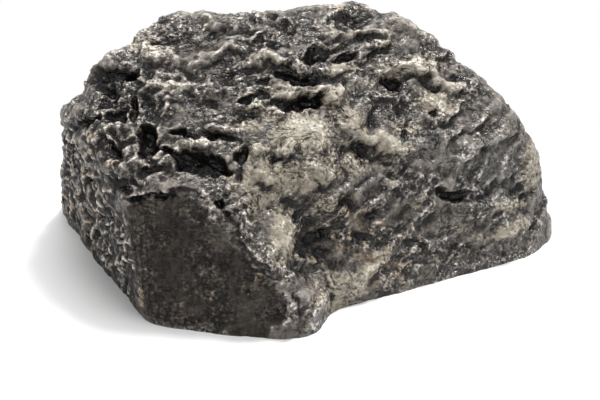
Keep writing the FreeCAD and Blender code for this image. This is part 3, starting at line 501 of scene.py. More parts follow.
def carve(on_blank, out):
    """How far the finished surface stands outside the blank, and the marks for colour.
    The number that each texture is multiplied by is its height in mm."""
    to_eye = EYE - on_blank
    to_eye /= np.linalg.norm(to_eye, axis=1, keepdims=True)
    facing = (out * to_eye).sum(1)
    front = ease(facing, -0.10, 0.15)
    spots = seen_at(on_blank)
    for size, push in EDGE_DRIFT:
        sway = [wander(on_blank, size, seed=31), wander(on_blank, size, seed=32)]
        spots = spots + push * np.stack(sway, 1)

    smooth = inside(spots, SMOOTH_FACE, soft=3) * front
    end = inside(spots, LEFT_END, soft=4) * front
    cave = inside(spots, CAVE_SIDE, soft=10) * front
    strata = inside(spots, STRATA, soft=14) * front
    top = ease(out[:, 2], 0.35, 0.8)
    strata = np.maximum(strata, top * (1 - front))
    rest = np.clip(1 - smooth - end - strata, 0, 1)

    lively = ease(wander(on_blank, size=7, seed=71), -0.4, 0.4)
    still = np.maximum(painted(spots, CREAM), painted(spots, SLABS))
    calm = 1 - 0.65 * front * still * (1 - smooth)

    # Large heaves all over, kept small enough to stay in the blank's box.
    rise = 0.9 * layered(on_blank, size=20, seed=1, layers=2) * (1 - 0.7 * smooth)
    rise += 0.45 * (1 - calm)
    # Layers that run along the rock over the crown, and fray as they go.
    strong = ease(wander(on_blank, size=12, seed=47), -0.5, 0.5)
    crown = ledges(on_blank, way=(0.08, -0.62, -1.0), size=5.2, seed=2) - LEDGE_MEAN
    rise += strata * 0.8 * strong * crown
    along = warped(on_blank * CROWN_GRAIN, size=8, amount=2.6, seed=41)
    rise += strata * calm * 1.2 * (lobed(along, size=7.0, seed=3, fade=0.6) - LOBE_MEAN)
    # Slanting folds over the right side and the back.
    slope = ledges(on_blank, way=(-0.5, -0.3, 0.9), size=6.4, seed=5) - LEDGE_MEAN
    rise += rest * 0.8 * (1 - 0.5 * strong) * slope
    slant = warped(on_blank @ SIDE_GRAIN, size=8, amount=2.6, seed=44)
    folds = lobed(slant * (0.5, 1, 1), size=7.0, seed=6, fade=0.55) - LOBE_MEAN
    rise += rest * calm * 0.9 * folds
    # Gas holes with thin walls between, crowded on the cave side and sparse elsewhere.
    near, second = cells(warped(on_blank, size=4, amount=2.2, seed=48), size=4.6, seed=52)
    crowded = ease(wander(on_blank, size=6, seed=49), -0.5, 0.2)
    rise -= cave * 1.7 * ease(second - near, 0.10, 0.50) * crowded
    sparse = ease(wander(on_blank, size=11, seed=53), 0.0, 0.5)
    holes = ease(near, 0.34, 0.12) * sparse * (1 - cave)
    rise -= holes * (strata + 0.4 * rest) * (1 - smooth)
    # Flakes of stone on the left end.
    flakes = warped(on_blank, size=5, amount=2.6, seed=57)
    near, second = cells(flakes * (1, 1, 0.75), size=3.4, seed=58)
    split = ease(wander(on_blank, size=6, seed=55), -0.4, 0.3)
    rise += end * 1.3 * (ease(second - near, 0.02, 0.34) - 0.75) * split
    rise += end * 1.5 * layered(flakes, size=5.0, seed=56, layers=2)
    rise += end * 1.8 * (crested(flakes, size=9.0, seed=54, fade=0.6) - 0.66)
    # Fine grain, in lively patches, and the few chips and cracks of the smooth face.
    fine = (1 - 0.8 * smooth) * calm * (0.35 + 0.65 * lively)
    fine *= 1 - 0.35 * rest
    crumbs = lobed(warped(on_blank, size=2.5, amount=1.0, seed=59), size=2.6, seed=8,
                   layers=2, fade=0.6) - LOBE_MEAN
    rise += fine * (0.9 - 0.1 * cave - 0.65 * end) * crumbs
    rise += fine * (0.30 + 0.1 * cave) * wander(on_blank, size=1.2, seed=9)
    shards = crested(warped(on_blank, size=4, amount=1.5, seed=33), size=3.4, seed=34,
                     layers=2, fade=0.6) - 0.6
    rise += fine * 0.5 * end * shards
    chips = crested(warped(on_blank, size=5, amount=2.0, seed=13) * (1, 1, 0.7), size=7.5,
                    seed=12, fade=0.6)
    rise -= smooth * 0.45 * ease(chips, 0.74, 0.95)
    rise += smooth * 0.55 * layered(on_blank * (1, 1, 0.6), size=6, seed=14, fade=0.6)

    marks = np.zeros(len(spots))
    uneven = 0.8 + 0.6 * wander(on_blank, size=3.5, seed=35)
    for u, v, across, down, turn, amount, steep in HOLLOWS + LUMPS:
        r = oval(spots, u, v, across, down, turn)
        if steep > 1:
            shape = 1 - ease(r, 1 - 1 / steep, 1.0 + 0.35 / steep)
        else:
            shape = np.exp(-r ** 2)
        marks += amount * shape * front * (uneven if amount < 0 else 1)
    for height, width, line in CRESTS:
        d, side, share = beside(spots, line)
        reach = np.where(side > 0, width * 1.6, width * 0.45)
        full = height * ease(share, 0, 0.25) * ease(share, 1, 0.75) * front
        marks += full * np.exp(-(d / reach) ** 2) * uneven
        marks -= 0.4 * full * np.exp(-((d - 1.3 * width) / (0.7 * width)) ** 2) * (side < 0)
    skyline = ease(facing, -0.6, -0.2), ease(facing, 0.75, 0.4)
    for height, width, line in SKYLINE:
        d, _, share = beside(spots, line)
        full = height * ease(share, 0, 0.2) * ease(share, 1, 0.8)
        marks += full * np.exp(-(d / width) ** 2) * skyline[0] * skyline[1]
    marks -= 1.15 * notched(on_blank) * (1 - front)
    rise += np.maximum(marks, -DEEPEST_MARK)
    # The foot of the rock stays close to the blank.
    rise *= 0.35 + 0.65 * ease(on_blank[:, 2], -0.5, 7.0)
    raised = MOST_RISE * np.tanh(rise / MOST_RISE)
    rise = np.where(rise > 0, raised, np.maximum(rise, -MOST_SINK))
    return rise - SET_BACK, SimpleNamespace(
        front=front, smooth=smooth, end=end, cave=cave, strata=strata, rest=rest,
        marks=marks, holes=holes, lively=lively, calm=calm)


def read_points(mesh):
    numbers = np.empty(len(mesh.vertices) * 3)
    mesh.vertices.foreach_get("co", numbers)
    return numbers.reshape(-1, 3)


def write_points(mesh, points):
    mesh.vertices.foreach_set("co", points.astype(np.float32).ravel())
    mesh.update()


def placed(name, data):
    piece = bpy.data.objects.new(name, data)
    bpy.context.scene.collection.objects.link(piece)
    return piece


def as_made(piece):
    """The piece's mesh with its modifiers carried out."""
    graph = bpy.context.evaluated_depsgraph_get()
    return bpy.data.meshes.new_from_object(piece.evaluated_get(graph))


# A ball is blown up from inside the blank until it fills it, then carved. Its foot hangs
# a little below the ground, where it is sawn off flat later.
FOOT = -2.5                                         # mm
HEART = np.array([-5.0, -4.0, 10.0])                # mm, the middle of the ball
BALL_START, BALL_ROUNDS, BALL_STEP = 4.0, 40, 6     # mm, rounds, and mm in each round
CORNER_STEP = 1.2                                   # mm, the most a corner is moved
FACET = 0.00056           # m
ball = bmesh.new()
bmesh.ops.create_icosphere(ball, subdivisions=8, radius=1)
carved = bpy.data.meshes.new("rock_shell_carved")
ball.to_mesh(carved)
ball.free()
ray = read_points(carved)
ray /= np.linalg.norm(ray, axis=1, keepdims=True)
reach = np.full(len(ray), BALL_START)
for _ in range(BALL_ROUNDS):
    at = HEART + ray * reach[:, None]
    gap = np.maximum(blank(at)[0], FOOT - at[:, 2])
    reach -= np.clip(gap, -BALL_STEP, BALL_STEP) * 0.9
at = HEART + ray * reach[:, None]
ground = at[:, 2] < FOOT + 0.02
out = blank(at)[1]
rise = carve(at, out)[0]
at = np.where(ground[:, None], at, at + out * rise[:, None])
write_points(carved, at / 1000)
rock = placed("rock_shell_casting", carved)

# The carved ball is given even facets, and each corner is set on the exact surface.
carved.remesh_voxel_size = FACET
bpy.context.view_layer.objects.active = rock
rock.select_set(True)
bpy.ops.object.voxel_remesh()
carved = rock.data
at = read_points(carved) * 1000
on_blank, out = onto_blank(at)
rise = carve(on_blank, out)[0]
step = on_blank + out * rise[:, None] - at
length = np.linalg.norm(step, axis=1, keepdims=True)
step *= np.minimum(1, CORNER_STEP / np.maximum(length, 1e-6))
step *= ease(at[:, 2], FOOT + 0.6, FOOT + 1.2)[:, None]
write_points(carved, (at + step) / 1000)

# The inside is cut to the casting's own hollow: the faces of the frame's rock that are
# neither on the outside nor on the ground are the core that the mould holds.
OUTER_SKIN = 4.2                                    # mm, nothing nearer the outside is core
CORE_FOOT = -0.002                                  # m, the core is drawn down to here
SAW = 0.2                                           # m
core = bmesh.new()
core.from_mesh(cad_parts["rock_shell"].data)
bmesh.ops.remove_doubles(core, verts=core.verts, dist=1e-6)
middles = np.array([f.calc_center_median() for f in core.faces]) * 1000


def sharp_blank(points):
    heights = []
    for faces in (BODY_FACES, TOE_FACES):
        normals, on_face = outward(faces)
        heights.append((points @ normals.T - (normals * on_face).sum(1)).max(1))
    return np.minimum(*heights)


outside = (sharp_blank(middles) > -OUTER_SKIN) | (middles[:, 2] < 0.001)
outside_faces = [f for f, o in zip(list(core.faces), outside) if o]
bmesh.ops.delete(core, geom=outside_faces, context="FACES")
rim = [e for e in core.edges if e.is_boundary]
below = bmesh.ops.extrude_edge_only(core, edges=rim)["geom"]
for v in (g for g in below if isinstance(g, bmesh.types.BMVert)):
    v.co.z = CORE_FOOT
bottom = [e for e in core.edges if e.is_boundary]
bmesh.ops.holes_fill(core, edges=bottom)
bmesh.ops.recalc_face_normals(core, faces=core.faces)
core_mesh = bpy.data.meshes.new("core")
core.to_mesh(core_mesh)
core.free()
core_block = placed("core", core_mesh)
saw_mesh = bpy.data.meshes.new("saw")
saw = bmesh.new()
bmesh.ops.create_cube(saw, size=SAW)
bmesh.ops.translate(saw, verts=saw.verts, vec=(0, 0, -SAW / 2))
saw.to_mesh(saw_mesh)
saw.free()
saw_block = placed("saw", saw_mesh)
for tool in (saw_block, core_block):
    cut = rock.modifiers.new(tool.name, "BOOLEAN")
    cut.operation = "DIFFERENCE"
    cut.object = tool
    cut.solver = "MANIFOLD"
hollowed = as_made(rock)
bpy.data.objects.remove(saw_block)
bpy.data.objects.remove(rock)
rock = placed("rock_shell_casting", hollowed)
core_tree = BVHTree.FromObject(core_block, bpy.context.evaluated_depsgraph_get())
bpy.data.objects.remove(core_block)


# Colour: the casting is stained dark all over, patched with cream and rust, and paler along
# its crests. It is darker in dents and hollows and paler on rises and lump tops, partly from a
# dark wash and dry-brushing, partly painted shade and painted highlight. The masks for that
# are painted here.
def softened(points, mesh, rounds):
    """Each corner moved to the middle of its neighbours, a number of times over."""
    ends = np.empty(len(mesh.edges) * 2, dtype=np.int32)
    mesh.edges.foreach_get("vertices", ends)
    a, b = ends.reshape(-1, 2).T
    count = np.bincount(np.concatenate([a, b]), minlength=len(points))[:, None]
    result = []
    for k in range(1, max(rounds) + 1):
        total = np.stack([np.bincount(a, points[b, c], len(points))
                          + np.bincount(b, points[a, c], len(points)) for c in range(3)], 1)
        points = 0.5 * points + 0.5 * total / np.maximum(count, 1)
        if k in rounds:
            result.append(points)
    return result


def swayed(spots, points, size, push, seed):
    """Spots pushed about by some pixels, so that a patch's edge wanders."""
    return spots + push * np.stack([wander(points, size, seed), wander(points, size, seed + 1)], 1)


FINE_ROUNDS, BROAD_ROUNDS = 3, 24
at = read_points(hollowed) * 1000
core_gap = np.array([core_tree.find_nearest(Vector(p / 1000))[3] for p in at]) * 1000
core_side = ease(core_gap, 0.05, 0.01)
on_blank, out = onto_blank(at)
zones = carve(on_blank, out)[1]
fine, broad = softened(at, hollowed, (FINE_ROUNDS, BROAD_ROUNDS))
normal = np.empty(len(at) * 3)
hollowed.vertex_normals.foreach_get("vector", normal)
normal = normal.reshape(-1, 3)
dent_fine = ((fine - at) * normal).sum(1)
dent_broad = ((broad - at) * normal).sum(1)
dent_fine /= dent_fine[core_side < 0.5].std()
dent_broad /= dent_broad[core_side < 0.5].std()

spots = swayed(seen_at(on_blank), on_blank, size=5, push=4.5, seed=61)
spots = swayed(spots, on_blank, size=1.8, push=1.8, seed=63)
front, back = zones.front, 1 - zones.front
rugged = 1 - zones.smooth
mottle = layered(on_blank, size=9, seed=65)
flecks = layered(on_blank, size=2.4, seed=66)

# The stains: cream plaster, rust, and blue slate. The back is stained by chance alone.
anywhere = ease(layered(on_blank, size=15, seed=67) + 0.25 * flecks, 0.25, 0.5)
cream = front * painted(spots, CREAM) + back * anywhere
wiped = 0.6 * flecks + 0.5 * mottle - 0.45 * dent_broad - 0.3 * dent_fine
cream *= ease(wiped, -1.0, -0.4)
# Pale cream on the raised crests of the broken ends: partly dry-brushed paint, partly painted
# highlight.
crest = front * np.maximum(zones.end, zones.cave) * rugged
crest *= ease(wander(on_blank, size=3.5, seed=85), -0.2, 0.4)
standing = ease(-dent_fine - 0.3 * dent_broad + 0.5 * flecks, 0.5, 1.6)
cream = np.maximum(cream, 0.5 * crest * standing)
rust = front * painted(spots, RUST) + back * ease(wander(on_blank, size=8, seed=68), 0.45, 0.7)
freckles = 0.55 * ease(wander(on_blank, size=4, seed=69), 0.55, 0.8)
rust = np.maximum(rust * ease(flecks, -0.4, 0.2), freckles)
blue = 0.55 * front * painted(spots, BLUE)
blue += 0.5 * back * ease(wander(on_blank, size=18, seed=70), -0.1, 0.4)

# The tone, from black to white: painted shade in dents, holes and hollows, painted highlight on
# rises and lump tops.
# Darker in dents, paler on rises: partly a dark wash, partly painted shade and painted highlight.
tone = 0.08 * mottle + 0.06 * flecks - 0.13 * dent_fine - 0.10 * dent_broad
tone *= (1 + 1.9 * zones.end + 1.1 * zones.cave - 0.5 * (1 - zones.calm)
         - 0.2 * zones.rest * front)
# Painted shade over the deep hollows, painted highlights on lump tops and crests.
shade = front * painted(spots, PAINTED_SHADE) * ease(flecks, -1.0, 0.2)
tone += 0.41 + 0.8 * front * painted(spots, PAINTED_HIGHLIGHT) - 0.32 * shade
tone -= 0.46 * zones.end * ease(front, 0.1, 1.0) + 0.22 * zones.cave
tone -= 0.05 * zones.strata + 0.03 * zones.rest * front
tone += zones.smooth * (0.14 * layered(on_blank * (1, 1, 0.6), size=9, seed=77, layers=2) + 0.03)
# Painted shade in the carved hollows and the gas holes, painted highlight on the lumps.
depth = np.where(zones.marks < 0, 0.12, 0.07) * np.clip(zones.marks, -4, 2)
tone += depth * (1 - 0.5 * zones.smooth)
tone += 0.02 * (1 - zones.calm) - 0.25 * zones.holes * rugged

# Where the stone glints: on high places, and only in points on the ends' broken stone.
broken = np.maximum(zones.end, 0.8 * zones.cave)
glints = ease(wander(on_blank, size=1.5, seed=81) - 0.35 * dent_fine, 0.15, 0.6)
shiny = zones.lively * zones.calm * ease(zones.marks, -2.0, -0.4)
shiny *= ease(-dent_fine - 0.4 * dent_broad, -0.9, 0.5) * (1 - broken + broken * glints)


def paint(mesh, name, *channels):
    layer = mesh.attributes.new(name, "FLOAT_COLOR", "POINT")
    values = np.stack([np.clip(c, 0, 1) for c in channels], 1).astype(np.float32)
    layer.data.foreach_set("color", values.ravel())


# tint: cream with its painted crest highlight, smooth face, rust, blue; relief: tone with its
# painted shade and highlight, core side, smooth face, glints.
paint(hollowed, "tint", cream, zones.smooth, rust, blue)
paint(hollowed, "relief", tone, core_side, zones.smooth, shiny)


def linked(tree, kind, inputs=(), **settings):
    """A node with its settings made, and its inputs set or linked. A shader node goes by
    its short name, any other by its whole name."""
    node = tree.nodes.new(kind if "Node" in kind else "ShaderNode" + kind)
    for name, value in settings.items():
        setattr(node, name, value)
    for name, value in dict(inputs).items():
        if isinstance(value, bpy.types.NodeSocket):
            tree.links.new(value, node.inputs[name])
        else:
            node.inputs[name].default_value = value
    return node


def sum_of(tree, a, b, scale=1.0):
    """a + b * scale, for single numbers."""
    return linked(tree, "Math", {0: b, 1: scale, 2: a}, operation="MULTIPLY_ADD").outputs[0]


def times(tree, a, b):
    return linked(tree, "Math", {0: a, 1: b}, operation="MULTIPLY").outputs[0]


def noise(tree, where, scale, detail, roughness=0.6, distortion=0.0):
    values = {"Vector": where, "Scale": scale, "Detail": detail, "Roughness": roughness,
              "Distortion": distortion}
    return linked(tree, "TexNoise", values).outputs["Fac"]


def between(tree, value, low, high):
    """A value from 0 to 1, stretched to run from low to high."""
    return linked(tree, "MapRange", {"Value": value, "To Min": low, "To Max": high}).outputs[0]


def sharpen(tree, mask, low, high):
    return linked(tree, "MapRange", {"Value": mask, "From Min": low, "From Max": high},
                  interpolation_type="SMOOTHSTEP").outputs[0]


def colours(tree, value, *stops):
    """A value turned to a colour between named stops: (place, red, green, blue). The
    first two are the ends of the band."""
    node = linked(tree, "ValToRGB", {"Fac": value})
    band = node.color_ramp
    for k, (place, *colour) in enumerate(stops):
        stop = band.elements[k] if k < 2 else band.elements.new(place)
        stop.position = place
        stop.color = (*colour, 1)
    return node.outputs["Color"]


def laid_over(tree, under, over, mask):
    return linked(tree, "Mix", {0: mask, 6: under, 7: over}, data_type="RGBA").outputs[2]


def new_material(name):
    """A material with its tree and its Principled shader."""
    material = bpy.data.materials.new(name)
    material.use_nodes = True
    return material, material.node_tree, material.node_tree.nodes["Principled BSDF"]


stone, tree, shader = new_material("stone_resin")
place = linked(tree, "TexCoord").outputs["Object"]
tint = linked(tree, "Attribute", attribute_name="tint").outputs
relief = linked(tree, "Attribute", attribute_name="relief").outputs
stains = linked(tree, "SeparateColor", {"Color": tint["Color"]}).outputs
# The tone in relief's red carries the painted shade and painted highlight.
forms = linked(tree, "SeparateColor", {"Color": relief["Color"]}).outputs
lively, flat_face = relief["Alpha"], forms["Blue"]

# Worn patches, loose grain, hair cracks, and the tone that they give together.
lying = linked(tree, "Mapping", {"Vector": place, "Scale": (0.65, 1.0, 1.1)}).outputs[0]
worn = noise(tree, lying, 420, 3, distortion=0.3)
winding = noise(tree, lying, 230, 4, distortion=1.0)
bent = linked(tree, "Math", {0: winding, 1: 0.5}, operation="SUBTRACT").outputs[0]
bent = linked(tree, "Math", {0: bent}, operation="ABSOLUTE").outputs[0]
patchy = sharpen(tree, noise(tree, place, 120, 3), 0.42, 0.58)
cracks = times(tree, sharpen(tree, bent, 0.028, 0.006), patchy)
loose = sum_of(tree, -0.5, noise(tree, place, 1500, 1, roughness=0.5))
drift = sum_of(tree, -0.5, worn)
amount = between(tree, lively, 0.30, 1.7)
loose_here = times(tree, loose, amount)
drift_here = times(tree, drift, amount)
tone_here = sum_of(tree, forms["Red"], drift_here, 1.6)
tone_here = sum_of(tree, tone_here, loose_here, 1.7)
tone_here = sum_of(tree, tone_here, cracks, -0.38)
streaks = linked(tree, "Mapping", {"Vector": place, "Scale": (1.0, 1.0, 0.25)}).outputs[0]
streaks = sum_of(tree, -0.5, noise(tree, streaks, 900, 2))
face_tone = sum_of(tree, tone_here, streaks, 0.6)

# The stone and its stains, each from its darkest to its palest.
grey = colours(tree, tone_here, (0.0, 0.006, 0.005, 0.005), (1.0, 0.72, 0.66, 0.58),
               (0.14, 0.021, 0.018, 0.015), (0.30, 0.076, 0.067, 0.058),
               (0.50, 0.163, 0.145, 0.126), (0.70, 0.285, 0.258, 0.230),
               (0.85, 0.45, 0.405, 0.36))
slate = colours(tree, tone_here, (0.0, 0.006, 0.006, 0.007), (1.0, 0.68, 0.68, 0.66),
                (0.14, 0.022, 0.023, 0.025), (0.30, 0.073, 0.076, 0.081),
                (0.50, 0.150, 0.154, 0.160), (0.70, 0.27, 0.272, 0.272),
                (0.85, 0.43, 0.42, 0.40))
plaster = colours(tree, tone_here, (0.0, 0.012, 0.009, 0.007), (1.0, 0.84, 0.79, 0.70),
                  (0.14, 0.045, 0.036, 0.026), (0.30, 0.175, 0.149, 0.113),
                  (0.50, 0.29, 0.258, 0.203), (0.70, 0.43, 0.39, 0.32),
                  (0.85, 0.60, 0.555, 0.47))
basalt = colours(tree, face_tone, (0.0, 0.004, 0.0035, 0.003), (1.0, 0.12, 0.102, 0.086),
                 (0.25, 0.014, 0.012, 0.010), (0.44, 0.030, 0.0255, 0.021),
                 (0.70, 0.066, 0.055, 0.045))
iron = colours(tree, tone_here, (0.0, 0.010, 0.007, 0.005), (1.0, 0.62, 0.50, 0.38),
               (0.28, 0.088, 0.066, 0.047), (0.55, 0.225, 0.172, 0.122))
colour = grey
for stain, mask, edge, ragged, low, high in (
        (slate, tint["Alpha"], loose, 1.0, 0.2, 0.8),
        (basalt, stains["Green"], loose, 0.8, 0.2, 0.8),
        (plaster, stains["Red"], loose, 1.2, 0.20, 0.70),
        (iron, stains["Blue"], drift, 0.9, 0.35, 0.85)):
    mask = sharpen(tree, sum_of(tree, mask, edge, ragged), low, high)
    colour = laid_over(tree, colour, stain, mask)

# Grains of pale and dark stone in the resin, and bare resin on the side of the core.
PALE_GRAIN, DARK_GRAIN = (0.50, 0.45, 0.37, 1), (0.012, 0.011, 0.010, 1)
specks = linked(tree, "TexVoronoi", {"Vector": place, "Scale": 1150, "Randomness": 1.0}).outputs
speck = sharpen(tree, specks["Distance"], 0.26, 0.12)
which = linked(tree, "SeparateColor", {"Color": specks["Color"]}).outputs
rugged = between(tree, flat_face, 1.0, 0.0)
pale_specks = times(tree, speck, sharpen(tree, which["Red"], 0.89, 0.94))
dark_specks = times(tree, speck, sharpen(tree, which["Green"], 0.68, 0.76))
colour = laid_over(tree, colour, PALE_GRAIN, times(tree, pale_specks, rugged))
colour = laid_over(tree, colour, DARK_GRAIN, dark_specks)
resin = colours(tree, worn, (0.3, 0.20, 0.185, 0.165), (0.7, 0.27, 0.25, 0.225))
colour = laid_over(tree, colour, resin, forms["Green"])
tree.links.new(colour, shader.inputs["Base Color"])
dull = between(tree, sharpen(tree, worn, 0.36, 0.64), 0.22, 0.50)
tree.links.new(dull, shader.inputs["Roughness"])
shader.inputs["Specular IOR Level"].default_value = 0.15
shader.inputs["Coat Roughness"].default_value = 0.09
wet = times(tree, between(tree, lively, 0.20, 0.90), rugged)
tree.links.new(wet, shader.inputs["Coat Weight"])
height = sum_of(tree, drift_here, loose_here, 0.22)
height = sum_of(tree, height, cracks, -0.06)
height = times(tree, height, between(tree, flat_face, 1.0, 0.7))
bump = linked(tree, "Bump", {"Height": height, "Strength": 1.0, "Distance": 0.0026})
for socket in ("Normal", "Coat Normal"):
    tree.links.new(bump.outputs["Normal"], shader.inputs[socket])
hollowed.materials.clear()
hollowed.materials.append(stone)
hollowed.polygons.foreach_set("use_smooth", [True] * len(hollowed.polygons))
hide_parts("rock_shell")
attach(rock, "rock")

# ------------------------------------------------------------------------ screw_inserts
# Four brass sleeves, turned from bar, knurled outside with a groove round the waist, and
# pressed warm into the bosses of the casting so that the base screws have metal to bite.
INSERT_SIZES = {"Outer Radius": 2.1e-3, "Bore Radius": 1.5e-3, "Length": 5.7e-3,
                "Knurl Depth": 0.16e-3, "Waist Depth": 0.30e-3, "Teeth": 22}
INSERT_SPOTS = [(-27.898, -17.252, 9.45), (37.402, -0.252, 9.45), (-43.998, 11.748, 9.45),
                (37.402, 18.748, 9.45)]                # mm
STEPS_PER_TOOTH, CUTS_PER_SIDE = 4, 9
WAIST_SHARE = 0.11                                     # of the length, each way from the middle


def sleeve_tree(finish):
    tree = bpy.data.node_groups.new("knurled_sleeves", "GeometryNodeTree")
    tree.interface.new_socket("Spots", in_out="INPUT", socket_type="NodeSocketGeometry")
    for name, value in INSERT_SIZES.items():
        kind = "NodeSocketInt" if name == "Teeth" else "NodeSocketFloat"
        tree.interface.new_socket(name, in_out="INPUT", socket_type=kind).default_value = value
    tree.interface.new_socket("Sleeves", in_out="OUTPUT", socket_type="NodeSocketGeometry")
    given = tree.nodes.new("NodeGroupInput").outputs

    def math_of(operation, a, b=0.0, c=0.0):
        return linked(tree, "Math", {0: a, 1: b, 2: c}, operation=operation).outputs[0]

    # A ring of tube with square corners: the wall's section, swept round the bore.
    wall = math_of("SUBTRACT", given["Outer Radius"], given["Bore Radius"])
    middle = math_of("MULTIPLY_ADD", wall, 0.5, given["Bore Radius"])
    around = math_of("MULTIPLY", given["Teeth"], STEPS_PER_TOOTH)
    path = linked(tree, "GeometryNodeCurvePrimitiveCircle",
                  {"Resolution": around, "Radius": middle}).outputs[0]
    section = linked(tree, "GeometryNodeCurvePrimitiveQuadrilateral",
                     {"Width": wall, "Height": given["Length"]}).outputs[0]
    section = linked(tree, "GeometryNodeSubdivideCurve",
                     {"Curve": section, "Cuts": CUTS_PER_SIDE}).outputs[0]
    ring = linked(tree, "GeometryNodeCurveToMesh",
                  {"Curve": path, "Profile Curve": section}).outputs[0]
    # Its outside is pushed in between the teeth and at the waist.
    place = linked(tree, "GeometryNodeInputPosition").outputs[0]
    parts = linked(tree, "SeparateXYZ", {0: place}).outputs
    level = linked(tree, "CombineXYZ", {"X": parts["X"], "Y": parts["Y"]}).outputs[0]
    straight_out = linked(tree, "VectorMath", {0: level}, operation="NORMALIZE").outputs[0]
    reach = linked(tree, "VectorMath", {0: level}, operation="LENGTH").outputs["Value"]
    outer = math_of("GREATER_THAN", reach, middle)
    bearing = math_of("ARCTAN2", parts["Y"], parts["X"])
    wave = math_of("COSINE", math_of("MULTIPLY", bearing, given["Teeth"]))
    knurl = math_of("MULTIPLY", math_of("MULTIPLY_ADD", wave, -0.5, 0.5), given["Knurl Depth"])
    from_middle = math_of("DIVIDE", math_of("ABSOLUTE", parts["Z"]), given["Length"])
    at_waist = math_of("LESS_THAN", from_middle, WAIST_SHARE)
    waist = math_of("MULTIPLY", at_waist, given["Waist Depth"])
    inward = math_of("MULTIPLY", math_of("MAXIMUM", knurl, waist), outer)
    inward = math_of("MULTIPLY", inward, -1)
    push = linked(tree, "VectorMath", {0: straight_out, 3: inward}, operation="SCALE").outputs[0]
    shaped = linked(tree, "GeometryNodeSetPosition", {"Geometry": ring, "Offset": push})
    set_out = linked(tree, "GeometryNodeInstanceOnPoints",
                     {"Points": given["Spots"], "Instance": shaped.outputs[0]})
    solid = linked(tree, "GeometryNodeRealizeInstances", {"Geometry": set_out.outputs[0]})
    faced = linked(tree, "GeometryNodeSetMaterial",
                   {"Geometry": solid.outputs[0], "Material": finish})
    done = tree.nodes.new("NodeGroupOutput")
    tree.links.new(faced.outputs[0], done.inputs["Sleeves"])
    return tree


def effect_group(name, sizes):
    """A shader group with a place, its named sizes and the three outputs of a finish."""
    group = bpy.data.node_groups.new(name, "ShaderNodeTree")
    group.interface.new_socket("Place", in_out="INPUT", socket_type="NodeSocketVector")
    for label, value in sizes.items():
        socket = group.interface.new_socket(label, in_out="INPUT", socket_type="NodeSocketFloat")
        socket.default_value = value
    for label in ("Shade", "Dullness", "Relief"):
        group.interface.new_socket(label, in_out="OUTPUT", socket_type="NodeSocketFloat")
    return group, group.nodes.new("NodeGroupInput").outputs


def put_out(group, shade, dullness, relief):
    done = group.nodes.new("NodeGroupOutput")
    for label, value in (("Shade", shade), ("Dullness", dullness), ("Relief", relief)):
        group.links.new(value, done.inputs[label])


def finish_of(name, effect, values, dark, light, rough, depth, metal=0.0, shine=0.5):
    """A material: a group's shade between two colours, its dullness and its relief (m)."""
    material, tree, shader = new_material(name)
    group = tree.nodes.new("ShaderNodeGroup")
    group.node_tree = effect
    for label, value in values.items():
        group.inputs[label].default_value = value
    tree.links.new(linked(tree, "TexCoord").outputs["Object"], group.inputs["Place"])
    colour = colours(tree, group.outputs["Shade"], (0.36, *dark), (0.64, *light))
    tree.links.new(colour, shader.inputs["Base Color"])
    dull = linked(tree, "MapRange", {"Value": group.outputs["Dullness"], "From Min": 0.3,
                                     "From Max": 0.7, "To Min": rough[0], "To Max": rough[1]})
    tree.links.new(dull.outputs[0], shader.inputs["Roughness"])
    bump = linked(tree, "Bump", {"Height": group.outputs["Relief"], "Strength": 1.0,
                                 "Distance": depth})
    tree.links.new(bump.outputs["Normal"], shader.inputs["Normal"])
    shader.inputs["Metallic"].default_value = metal
    shader.inputs["Specular IOR Level"].default_value = shine
    return material


# Metal as it comes off a machine: fine lines along the cut, and duller patches from hands.
machined, given = effect_group("machined_metal", {"Line Size": 900.0, "Patch Size": 260.0,
                                                  "Stretch": 0.08})
drawn = linked(machined, "CombineXYZ", {"X": 1.0, "Y": 1.0, "Z": given["Stretch"]}).outputs[0]
drawn = linked(machined, "VectorMath", {0: given["Place"], 1: drawn},
               operation="MULTIPLY").outputs[0]
lines = noise(machined, drawn, given["Line Size"], 3)
patches = noise(machined, given["Place"], given["Patch Size"], 2, roughness=0.5)
put_out(machined, times(machined, sum_of(machined, lines, patches), 0.5), patches, lines)

brass = finish_of("insert_brass", machined, {"Line Size": 1400.0, "Stretch": 0.3},
                  (0.50, 0.33, 0.11), (0.72, 0.52, 0.22), (0.22, 0.42), 3e-5, metal=1.0)
spots_mesh = bpy.data.meshes.new("insert_spots")
spots_mesh.from_pydata([[v / 1000 for v in spot] for spot in INSERT_SPOTS], [], [])
spots_piece = placed("insert_spots", spots_mesh)
sleeves = spots_piece.modifiers.new("sleeves", "NODES")
sleeves.node_group = sleeve_tree(brass)
for item in sleeves.node_group.interface.items_tree:
    if item.in_out == "INPUT" and item.name in INSERT_SIZES:
        sleeves[item.identifier] = INSERT_SIZES[item.name]
insert_mesh = as_made(spots_piece)
bpy.data.objects.remove(spots_piece)
insert_mesh.name = "knurled_inserts"
inserts = placed("knurled_inserts", insert_mesh)
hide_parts("screw_inserts")
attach(inserts, "rock")

# --------------------------------------------------------------------------- base_plate
# The black plastic plate that closes the rock, injection moulded with a fine spark-worn
# grain from its tool. It has the rebate for the door and a raised curb round the opening.
moulded, given = effect_group("moulded_skin", {"Grain Size": 1600.0, "Flow Size": 40.0,
                                               "Softness": 0.4})
pits = linked(moulded, "TexVoronoi", {"Vector": given["Place"], "Scale": given["Grain Size"]},
              feature="SMOOTH_F1")
moulded.links.new(given["Softness"], pits.inputs["Smoothness"])
flow = noise(moulded, given["Place"], given["Flow Size"], 4, roughness=0.65, distortion=0.8)
rubbed = noise(moulded, given["Place"], given["Grain Size"], 1, roughness=0.5)
put_out(moulded, sum_of(moulded, times(moulded, flow, 0.7), rubbed, 0.3), flow,
        pits.outputs["Distance"])


